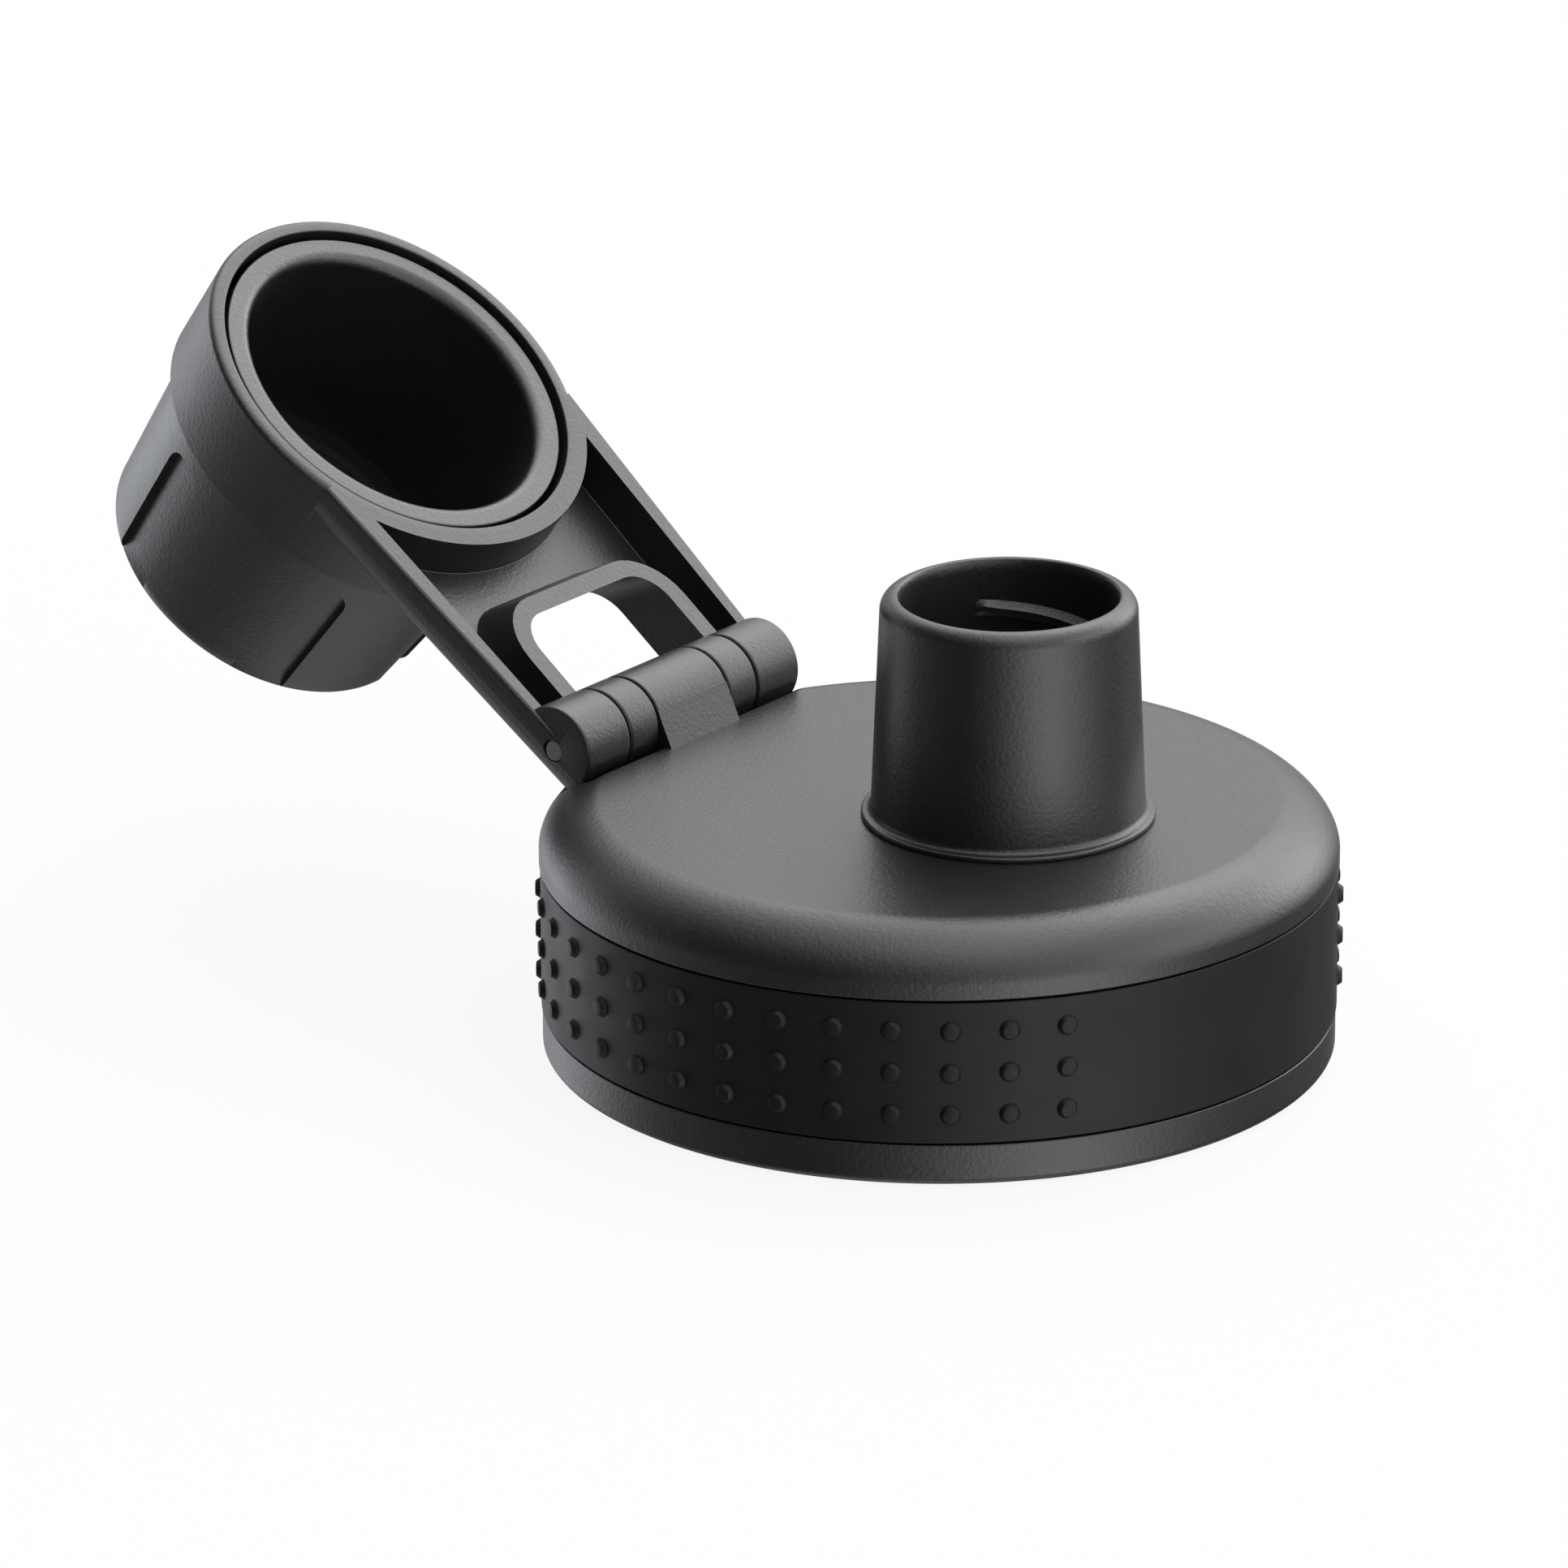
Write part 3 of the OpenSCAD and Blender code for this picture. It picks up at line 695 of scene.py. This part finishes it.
def steel(name, colour):
    """Ground steel with fine lines across the pin's end."""
    paint = Paint(bpy.data.materials.new(name))
    lines = paint.noise(STEEL_LINES, stretch=(1, 0.1, 1))
    paint.set(Base_Color=shade(colour, 1.0), Metallic=1.0, Roughness=paint.vary(lines, 0.23, 0.07))
    paint.bump(lines, 0.002 * MM)


MATERIALS = {
    "shell": ("shell plastic", moulded, {}),
    "band": ("band rubber", rubber, {"roughness": 0.5, "specular": 0.2}),
    "spout": ("spout plastic", moulded, {}),
    "strap": ("strap plastic", moulded, {}),
    "cap": ("cap plastic", moulded, {"roughness": 0.36, "specular": 0.6}),
    # Painted shade: the liner's darker black stands for the shade inside the cap, where the plug sits.
    "liner": ("liner plastic", moulded, {"roughness": 0.35, "grain": 0.003 * MM}),
    "seal": ("seal silicone", rubber, {"roughness": 0.4, "specular": 0.4}),
    "pin": ("pin steel", steel, {}),
}


def material(slot):
    """The material of a slot, made when it is first asked for."""
    name, make, settings = MATERIALS[slot]
    if name not in bpy.data.materials:
        make(name, getattr(bpy.context.scene.finishes, slot), **settings)
    return bpy.data.materials[name]


class Maker(bpy.types.Operator):
    """Base of the operators that make pieces."""
    bl_options = {"REGISTER", "UNDO"}

    def execute(self, context):
        self.make(derived(context.scene))
        return {"FINISHED"}


class SPOUTLID_OT_finishes(Maker):
    """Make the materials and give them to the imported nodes."""
    bl_idname = "spoutlid.finishes"
    bl_label = "Finishes"

    def make(self, d):
        slots = {part["node"]: part["material_slot"] for part in frame["record"]["subparts"]}
        for node, piece in frame["nodes"].items():
            piece.data.materials.clear()
            piece.data.materials.append(material(slots[node]))


class SPOUTLID_OT_shell(Maker):
    """Make the lid's shell: turned form, hinge pocket, post and spout hole."""
    bl_idname = "spoutlid.shell"
    bl_label = "Lid shell"

    def make(self, d):
        lid, hinge, spout = d.lid, d.hinge, d.spout
        soft = lid.seat_edge
        outline = [(d.foot_r - lid.foot_round_w - FLAT / 2, 0), (d.foot_r - lid.foot_round_w, 0)]
        outline += bend((d.foot_r - lid.foot_round_w, lid.foot_round_h),
                        (lid.foot_round_w, lid.foot_round_h), -90, 0, 12)[1:]
        outline += bend((d.foot_r - soft, lid.foot_height - soft), soft, 0, 90, 3)
        outline += [(d.seat_r, lid.foot_height), (d.seat_r, d.band_top)]
        outline += bend((d.lid_r - soft, d.band_top + soft), soft, -90, 0, 3)
        outline += bend((d.lid_r - lid.shoulder_w, lid.height - lid.shoulder_h),
                        (lid.shoulder_w, lid.shoulder_h), 0, 90, 28, lid.shoulder_power)
        outline += [(d.lid_r - lid.shoulder_w - FLAT, lid.height)]
        shell = turned("lid_cover", outline)
        combine(shell, self.pocket(d, 0.0))
        cavity = cylinder("cavity", d.shell_in_r, -BEYOND, d.ceiling, ROUND_SIDES)
        combine(cavity, self.pocket(d, lid.side_wall))
        combine(shell, cavity)
        hole = cylinder("hole", spout.base_radius + SEAT_FIT, d.ceiling - BEYOND, lid.height + BEYOND)
        combine(shell, place(hole, d.at_spout))
        combine(shell, self.post(d), "UNION")
        bore = cylinder("bore", hinge.pin_radius + hinge.pin_fit, -hinge.half, hinge.half)
        combine(shell, place(bore, d.at_hinge @ d.along_x))
        soften(shell, lid.soft)
        finish_piece(shell, "lid", "shell", ["lid_shell"])

    def pocket(self, d, grow):
        """The cut that the barrel sits in, with rounded ends."""
        half = d.hinge.half + d.hinge.pocket_end + grow
        radius = d.hinge.radius + d.hinge.pocket_gap + grow
        return bar("pocket", -half, half, radius, d.hinge.pocket_round, d.at_hinge @ d.along_x)

    def post(self, d):
        """The post in the middle of the hinge: a barrel with a flat front that slopes down."""
        lid, hinge = d.lid, d.hinge
        post = bar("post", -hinge.post_half, hinge.post_half, hinge.radius, hinge.post_edge,
                   d.at_hinge @ d.along_x)
        slope = atan2(hinge.rise, hinge.post_foot)
        slope += asin(hinge.radius / hypot(hinge.post_foot, hinge.rise))
        touch = radians(90) + slope
        foot_y, axis_y, axis_z = d.hinge_y - hinge.post_foot, d.hinge_y, d.hinge_z
        back_y = axis_y + hinge.radius * cos(POST_BACK)
        deep = d.ceiling + 0.2 * lid.top_wall
        corners = [(foot_y, deep), (foot_y, lid.height - HAIR),
                   (axis_y + hinge.radius * cos(touch), axis_z + hinge.radius * sin(touch)),
                   (axis_y, axis_z), (back_y, axis_z - hinge.radius * sin(POST_BACK)),
                   (back_y, deep - 2 * BEYOND)]
        half = hinge.post_half - HAIR
        return combine(post, prism("foot", corners, -half, half, d.side_on), "UNION")


class SPOUTLID_OT_band(Maker):
    """Make the grip band with its rows of studs."""
    bl_idname = "spoutlid.band"
    bl_label = "Grip band"

    def make(self, d):
        lid, stud = d.lid, d.stud
        low, high = lid.foot_height + lid.band_gap, d.band_top - lid.band_gap
        band = tube("band_cover", low, high, d.seat_r, d.band_r, lid.band_edge, ROUND_SIDES)
        pattern = self.stud(stud)
        columns = round((2 * pi - stud.bare_angle) / stud.angle_step)
        first = (stud.bare_angle - pi) / 2
        step = (2 * pi - stud.bare_angle) / columns
        studs = []
        for row in range(stud.rows):
            height = (low + high + (stud.rows - 1 - 2 * row) * stud.row_step) / 2
            for column in range(columns + 1):
                only(pattern)
                bpy.ops.object.duplicate()
                spot = turn("Z", first + column * step)
                spot = spot @ shift(d.band_r, 0, height) @ d.along_x
                studs.append(place(bpy.context.object, spot))
        bpy.data.objects.remove(pattern)
        finish_piece(join([band] + studs, "band_cover"), "lid", "band", ["grip_band"])

    def stud(self, stud):
        """One stud: a low cone with a flat top and a soft edge."""
        base, top, rise = stud.diameter / 2, stud.top / 2, stud.rise
        soft = stud.soft
        outline = [(base, -EMBED), (base, HAIR), (base - soft * 0.875, rise * 0.3),
                   (top + soft, rise * 0.8), (top + soft / 4, rise * 0.95), (top - soft, rise)]
        return turned("stud", outline, STUD_SIDES)


class SPOUTLID_OT_spout(Maker):
    """Make the drinking spout with its thread, and the seal under it."""
    bl_idname = "spoutlid.spout"
    bl_label = "Spout"

    def make(self, d):
        lid, spout = d.lid, d.spout
        edge, bore, base = spout.edge, spout.bore_radius, spout.base_radius
        rim, foot, low, high = base + spout.collar_w, lid.height, spout.collar_low, spout.collar_high
        fillet = spout.collar_fillet
        outline = [(bore, d.spout_foot), (base, d.spout_foot), (base, foot), (rim - low * 0.6, foot)]
        outline += bend((rim - low, foot + low), low, -60, 0, 3)
        outline += bend((rim - high, foot + high + spout.collar_flat), high, 0, 80, 5)
        outline += bend((base - HAIR + fillet, foot + spout.collar_h + fillet), -fillet, 80, 0, 7)
        outline += bend((spout.top_radius - edge, d.spout_top - edge), edge, 0, 90, 10)
        outline += bend((bore + spout.flare_w, d.spout_top - spout.flare_h),
                        (-spout.flare_w, -spout.flare_h), -90, 0, 8)
        tube_piece = place(turned("spout_cover", outline, SPOUT_SIDES, ring=True), d.at_spout)
        finish_piece(tube_piece, "lid", "spout", ["spout"])
        ridge = thread("spout_thread", spout, bore, d.spout_top, d.at_spout)
        finish_piece(ridge, "lid", "spout")
        seal = tube("spout_seal_ring", d.liner_top, d.spout_foot, bore, base, spout.seal_edge)
        finish_piece(place(seal, d.at_spout), "lid", "seal", ["spout_seal"])


class SPOUTLID_OT_liner(Maker):
    """Make the socket for the bottle's neck, with its thread and gasket."""
    bl_idname = "spoutlid.liner"
    bl_label = "Neck liner"

    def make(self, d):
        lid, spout = d.lid, d.spout
        rib_r = d.gasket_r - lid.gasket_w
        seat = lid.neck_radius - lid.gasket_step
        inner, low, high = rib_r - lid.rib, lid.neck_depth, d.gasket_top
        outline = [(inner - FLAT, high), (inner, high), (inner, low), (rib_r, low), (rib_r, high),
                   (seat, high), (seat, low), (lid.neck_radius, low), (lid.neck_radius, 0),
                   (d.liner_r, 0), (d.liner_r, d.liner_top), (rib_r, d.liner_top)]
        liner = turned("liner_cover", outline)
        collar_in, collar_top = spout.base_radius + SEAT_FIT, d.liner_top + lid.collar_h
        collar = cylinder("collar", collar_in + lid.collar_t, d.liner_top - EMBED, collar_top)
        combine(liner, place(collar, d.at_spout), "UNION")
        bore = spout.bore_radius
        socket = turned("socket", [(bore, high - BEYOND), (bore, d.liner_top), (collar_in, d.liner_top),
                                   (collar_in, collar_top + BEYOND)], SMALL_SIDES)
        combine(liner, place(socket, d.at_spout))
        soften(liner, lid.seat_edge, 2)
        finish_piece(liner, "lid", "liner", ["neck_liner"])
        ridge = thread("neck_thread", lid, lid.neck_radius, lid.neck_depth, Matrix())
        finish_piece(ridge, "lid", "liner")
        gasket = tube("neck_gasket_ring", low, high, rib_r, d.gasket_r, lid.gasket_edge, ROUND_SIDES)
        finish_piece(gasket, "lid", "seal", ["neck_gasket"])


class SPOUTLID_OT_hinge(Maker):
    """Make the steel pin and the spacer rings of the hinge."""
    bl_idname = "spoutlid.hinge"
    bl_label = "Hinge"

    def make(self, d):
        hinge = d.hinge
        half, radius, edge = hinge.half - hinge.pin_inset, hinge.pin_radius, hinge.pin_edge
        outline = [(radius * 0.5, -half)] + bend((radius - edge, edge - half), edge, -90, 0, 4)
        outline += bend((radius - edge, half - edge), edge, 0, 90, 4) + [(radius * 0.5, half)]
        pin = place(turned("pin_cover", outline, SMALL_SIDES), d.at_open @ d.along_x)
        finish_piece(pin, "strap", "pin", ["hinge_pin"])
        low, high = d.ring_start, d.ring_start + hinge.ring_length
        for name, start, end in (("ring_left", -high, -low), ("ring_right", low, high)):
            ring = tube(name, start, end, radius + hinge.pin_fit, hinge.radius, hinge.edge)
            finish_piece(place(ring, d.at_hinge @ d.along_x), "lid", "shell", ["hinge_" + name])


class SPOUTLID_OT_strap(Maker):
    """Make the strap: knuckles, rails, web, framed window and ring."""
    bl_idname = "spoutlid.strap"
    bl_label = "Strap"

    def make(self, d):
        hinge, strap = d.hinge, d.strap
        body = self.tray(d)
        for low, high in ((-hinge.half, -d.knuckle_start), (d.knuckle_start, hinge.half)):
            combine(body, bar("knuckle", low, high, hinge.radius, hinge.edge, d.along_x), "UNION")
        for side in (-1, 1):
            combine(body, self.rail_edge(d, side, d.back, strap.rail_round))
        combine(body, self.ring(d), "UNION")
        combine(body, self.ring_bore(d))
        end = hinge.half + BEYOND
        bore = cylinder("bore", hinge.pin_radius, -end, end)
        combine(body, place(bore, d.along_x))
        soften(body, strap.soft, angle=34.0)
        finish_piece(place(body, d.at_open), "strap", "strap", ["cap_strap"])

    def tray(self, d):
        """The plate with its rails, cut out between them down to the web and round the window."""
        strap = d.strap
        outer, inner = tan(strap.flare), tan(strap.flare - strap.rail_taper)
        near, far = d.rail_root, d.reach - d.ring_r * cos(RAIL_END)
        plate = prism("strap_cover", [(-near, 0), (near, 0), (near + far * outer, far),
                                      (-near - far * outer, far)], d.back, d.face)
        side = near - strap.rail
        pocket = prism("pocket", [(-side, -BEYOND), (side, -BEYOND), (side + far * inner, far + BEYOND),
                                  (-side - far * inner, far + BEYOND)], d.web, d.face + BEYOND)
        combine(pocket, self.leaning(d, strap.window_frame))
        collar = cylinder("collar", d.collar_r, d.back, d.face + 2 * BEYOND, ROUND_SIDES)
        combine(pocket, place(collar, d.at_ring))
        soften(pocket, strap.fillet, 4)
        combine(plate, pocket)
        combine(plate, self.leaning(d, 0.0))
        for side in (-1, 1):
            combine(plate, self.rail_edge(d, side, d.face, -strap.rail_edge))
        return plate

    def leaning(self, d, grow):
        """A leaning column, whose outline on the strap's face is the window grown all round."""
        strap = d.strap
        length = (strap.window + grow) * cos(strap.window_lean)
        outline = tongue(d.knuckle_start + grow, -4 * BEYOND, length, strap.window_corner + grow)
        lean = shift(0, 0, d.face) @ turn("X", strap.window_lean)
        return prism("column", outline, -4 * (d.face - d.back), 3 * (d.face - d.back), lean)

    def rail_edge(self, d, side, level, up):
        """What is cut away to round a rail's outer edge, upwards from the back or down from the face."""
        r, beyond, clear = abs(up), copysign(BEYOND, up), copysign(1.5 * HAIR, up)
        outline = [(-side * r, -beyond), (side * r, -beyond), (side * r, up)]
        outline += bend((-side * r, up), (side * r, up), 0, -90, 8)
        spot = shift(side * (d.rail_root + abs(clear)), 0, level - clear)
        spot = spot @ turn("Z", -side * d.strap.flare) @ turn("X", radians(90))
        return prism("edge", outline, -d.reach, 5 * BEYOND, spot)

    def ring(self, d):
        """The ring's outer form, drawn in a little towards its far end."""
        edge, soft, end_r = d.strap.ring_edge, d.strap.ring_soft, d.ring_r - d.strap.ring_taper
        outline = [(d.ring_r - 2 * FLAT, d.ring_end), (end_r - soft, d.ring_end),
                   (end_r, d.ring_end + soft)]
        outline += bend((d.ring_r - edge, d.face - edge), edge, 0, 90, 6)
        outline += [(d.ring_r - 2 * FLAT, d.face)]
        return place(turned("ring", outline), d.at_ring)

    def ring_bore(self, d):
        """The ring's bore, with the lip that keeps the cap."""
        soft, keeper = d.strap.bore_soft, d.ring_end + d.strap.keeper_wall
        outline = [(d.keeper_r, d.ring_end - BEYOND), (d.keeper_r, keeper), (d.ring_in_r, keeper)]
        outline += bend((d.ring_in_r + soft, d.face - soft), (-soft, soft), 0, 90, 5)
        outline += [(d.ring_in_r + soft, d.face + BEYOND)]
        return place(turned("bore", outline), d.at_ring)


class SPOUTLID_OT_cap(Maker):
    """Make the twist cap with its finger recesses, plug and seal."""
    bl_idname = "spoutlid.cap"
    bl_label = "Twist cap"

    def make(self, d):
        strap, cap = d.strap, d.cap
        lip, flare, soft = cap.lip, cap.flare, cap.shoulder
        end_r, flange = d.body_r - cap.taper, d.ring_end + strap.keeper_wall + cap.fit
        outline = [(CORE, d.cap_end), (end_r - cap.edge - FLAT / 2, d.cap_end)]
        outline += bend((end_r - cap.edge, d.cap_end + cap.edge), cap.edge, -90, 0, 10)
        outline += bend((d.body_r - soft, d.body_start - soft), soft, 0, 90, 3)
        outline += [(d.groove_r, d.body_start), (d.groove_r, flange), (d.rim_r, flange)]
        outline += bend((d.rim_r - lip, d.cap_rim - lip), lip, 0, 90, 6)
        outline += bend((d.bore_r + flare, d.cap_rim - flare), (-flare, flare), 90, 0, 8)
        hollow = d.bore_r - cap.plug_wall
        outline += [(d.bore_r, d.plug_back), (hollow, d.plug_back), (hollow, d.cap_end + cap.end_wall),
                    (CORE, d.cap_end + cap.end_wall)]
        body = turned("cap_cover", outline)
        combine(body, self.slots(cap, d, end_r))
        soften(body, cap.soft, angle=30.0)
        finish_piece(place(body, d.at_cap), "cap", "cap", ["twist_cap"])
        nose, edge = d.rim_w + cap.plug_reach, cap.plug_edge
        outline = [(CORE, d.plug_back), (d.bore_r, d.plug_back), (d.bore_r, d.floor), (d.plug_r, d.floor)]
        outline += bend((d.plug_r - edge, nose - edge), edge, 0, 90, 5)
        inner = d.plug_r - cap.plug_wall
        outline += [(inner, nose), (inner, d.floor), (CORE, d.floor)]
        # The plug takes the liner's darker black, painted shade for the inside of the cap.
        finish_piece(place(turned("plug_cover", outline, SMALL_SIDES * 2), d.at_cap), "cap", "liner",
                     ["cap_plug"])
        seal = tube("cap_seal_ring", d.floor, d.seal_face, d.plug_r, d.plug_r + cap.seal_w, cap.seal_edge)
        finish_piece(place(seal, d.at_cap), "cap", "seal", ["cap_seal"])

    def slots(self, cap, d, end_r):
        """The finger recesses: slots with rounded corners, open at the far end."""
        outline = tongue(cap.recess_w / 2, d.cap_end - BEYOND, d.body_start - cap.recess_start,
                         cap.recess_corner)
        slots = []
        for i in range(cap.recesses):
            spot = turn("Z", cap.recess_turn + i * 2 * pi / cap.recesses) @ d.side_on
            slots.append(prism("slot", outline, d.body_r * 0.6, d.body_r + 3 * BEYOND, spot))
        tool = join(slots, "slots")
        low = d.cap_end - 2 * BEYOND
        core = [(CORE, low), (end_r - cap.recess_depth, low),
                (end_r - cap.recess_depth, d.cap_end + cap.edge),
                (d.body_r - cap.recess_depth, d.body_start), (CORE, d.body_start)]
        return combine(tool, turned("core", core))


class SPOUTLID_OT_camera(Maker):
    """Put the camera at the photograph's angle."""
    bl_idname = "spoutlid.camera"
    bl_label = "Camera"

    def make(self, d):
        scene, stage = d.scene, d.scene.stage_settings
        right = Vector((cos(stage.azimuth), sin(stage.azimuth), 0))
        back = Vector(direction(stage.azimuth, stage.elevation))
        up = back.cross(right)
        aim = Matrix.Rotation(stage.roll, 3, "Z") @ Matrix.Rotation(stage.tilt, 3, "X")
        aim = aim @ Matrix.Rotation(stage.pan, 3, "Y") @ Matrix((right, up, back))
        lens = bpy.data.cameras.new("camera")
        lens.lens = stage.lens
        lens.sensor_width = SENSOR
        lens.clip_start, lens.clip_end = CLIP
        camera = bpy.data.objects.new("camera", lens)
        scene.collection.objects.link(camera)
        spot = back * stage.distance + Vector((0, 0, stage.aim_drop))
        camera.matrix_world = Matrix.Translation(spot) @ aim.transposed().to_4x4()
        scene.camera = camera


class SPOUTLID_OT_stage(Maker):
    """Lay the pale floor and hang the plain studio light."""
    bl_idname = "spoutlid.stage"
    bl_label = "Stage and light"

    def make(self, d):
        clear_selection()
        bpy.ops.mesh.primitive_plane_add(size=STAGE_SIZE, location=(0, 0, 0))
        floor = bpy.context.object
        floor.name = "floor"
        floor.data.materials.append(self.pale_floor())
        floor.visible_glossy = False
        self.room(d.scene)

    def pale_floor(self):
        """White to the camera, with the soft shadow of the lid."""
        paint = Paint(bpy.data.materials.new("pale floor"))
        paint.set(Base_Color=(0.8, 0.8, 0.8, 1.0), Roughness=0.9, Specular_IOR_Level=0.1)
        glow = paint.node("ShaderNodeEmission", Color=(1, 1, 1, 1), Strength=1.0)
        seen = paint.rays("Camera", "Glossy", "Transmission") * FLOOR_GLOW
        mixed = paint.node("ShaderNodeMixShader", i0=seen, i1=Field(paint, paint.shader.outputs[0]),
                           i2=glow)
        paint.tree.links.new(mixed.socket, paint.tree.nodes["Material Output"].inputs["Surface"])
        return paint.owner

    def room(self, scene):
        """Soft lights round the lid by direction, before a white backdrop that the camera sees."""
        settings = scene.stage_settings
        scene.world = bpy.data.worlds.new("room")
        paint = Paint(scene.world)
        scene.world.cycles.sampling_method = "NONE"
        where = paint.node("ShaderNodeTexCoord")
        glow = Field(paint, None)
        for spot in SOFT_LIGHTS:
            lobe = self.soft_light(paint, where, settings.azimuth, *spot)
            glow = lobe if glow.socket is None else paint.node(
                "ShaderNodeVectorMath", {"operation": "ADD"}, i0=glow, i1=lobe)
        matt = paint.rays("Diffuse")
        level = matt * (settings.matt_light - settings.gloss_light) + settings.gloss_light
        lit = paint.node("ShaderNodeBackground", Color=glow, Strength=level)
        white = paint.node("ShaderNodeBackground", Color=(1, 1, 1, 1), Strength=1.0)
        behind = self.backdrop(paint, where, settings) * paint.rays("Glossy")
        seen = paint.maths("MINIMUM", paint.rays("Camera", "Transmission") + behind, 1.0)
        mixed = paint.node("ShaderNodeMixShader", i0=seen, i1=lit, i2=white)
        paint.tree.links.new(mixed.socket, paint.tree.nodes["World Output"].inputs["Surface"])

    def soft_light(self, paint, where, camera, azimuth, elevation, focus, strength, colour):
        """One soft round light, brightest at its middle, whose azimuth counts from the camera's."""
        near = self.nearness(paint, where, camera + radians(azimuth), radians(elevation))
        fall = paint.node("ShaderNodeMath", {"operation": "EXPONENT"}, i0=(near - 1.0) * focus) * strength
        return paint.node("ShaderNodeVectorMath", {"operation": "SCALE"}, i0=colour, Scale=fall)

    def nearness(self, paint, where, azimuth, elevation):
        """How near a ray points to a place round the lid: the cosine of the angle between them."""
        return paint.node("ShaderNodeVectorMath", {"operation": "DOT_PRODUCT"}, out=1, i0=where,
                          i1=direction(azimuth, elevation))

    def backdrop(self, paint, where, settings):
        """1 in the directions that the camera looks in, with a soft edge."""
        near = self.nearness(paint, where, settings.azimuth + pi, -settings.elevation)
        return paint.ramp(near, cos(BACKDROP_EDGE), cos(BACKDROP_WHITE))


GROUPS = {"lid_sizes": LidSizes, "stud_sizes": StudSizes, "spout_sizes": SpoutSizes,
          "hinge_sizes": HingeSizes, "strap_sizes": StrapSizes, "cap_sizes": CapSizes,
          "finishes": Finishes, "stage_settings": StageSettings}
MAKERS = [SPOUTLID_OT_camera, SPOUTLID_OT_finishes, SPOUTLID_OT_shell, SPOUTLID_OT_band,
          SPOUTLID_OT_spout, SPOUTLID_OT_liner, SPOUTLID_OT_hinge, SPOUTLID_OT_strap,
          SPOUTLID_OT_cap, SPOUTLID_OT_stage]


class SPOUTLID_PT_panel(bpy.types.Panel):
    """The makers, in order, in the sidebar."""
    bl_label = "Spout Lid"
    bl_idname = "SPOUTLID_PT_panel"
    bl_space_type = "VIEW_3D"
    bl_region_type = "UI"
    bl_category = "Spout Lid"

    def draw(self, context):
        for maker in MAKERS:
            self.layout.operator(maker.bl_idname)


def register():
    for group in GROUPS.values():
        bpy.utils.register_class(group)
    for name, group in GROUPS.items():
        setattr(bpy.types.Scene, name, PointerProperty(type=group))
    for maker in MAKERS:
        bpy.utils.register_class(maker)
    bpy.utils.register_class(SPOUTLID_PT_panel)


def unregister():
    bpy.utils.unregister_class(SPOUTLID_PT_panel)
    for maker in reversed(MAKERS):
        bpy.utils.unregister_class(maker)
    for name in GROUPS:
        delattr(bpy.types.Scene, name)
    for group in GROUPS.values():
        bpy.utils.unregister_class(group)


def main():
    register()
    bpy.context.scene.view_settings.view_transform = "Standard"
    for maker in MAKERS:
        group, name = maker.bl_idname.split(".")
        getattr(getattr(bpy.ops, group), name)()


if __name__ == "__main__":
    main()
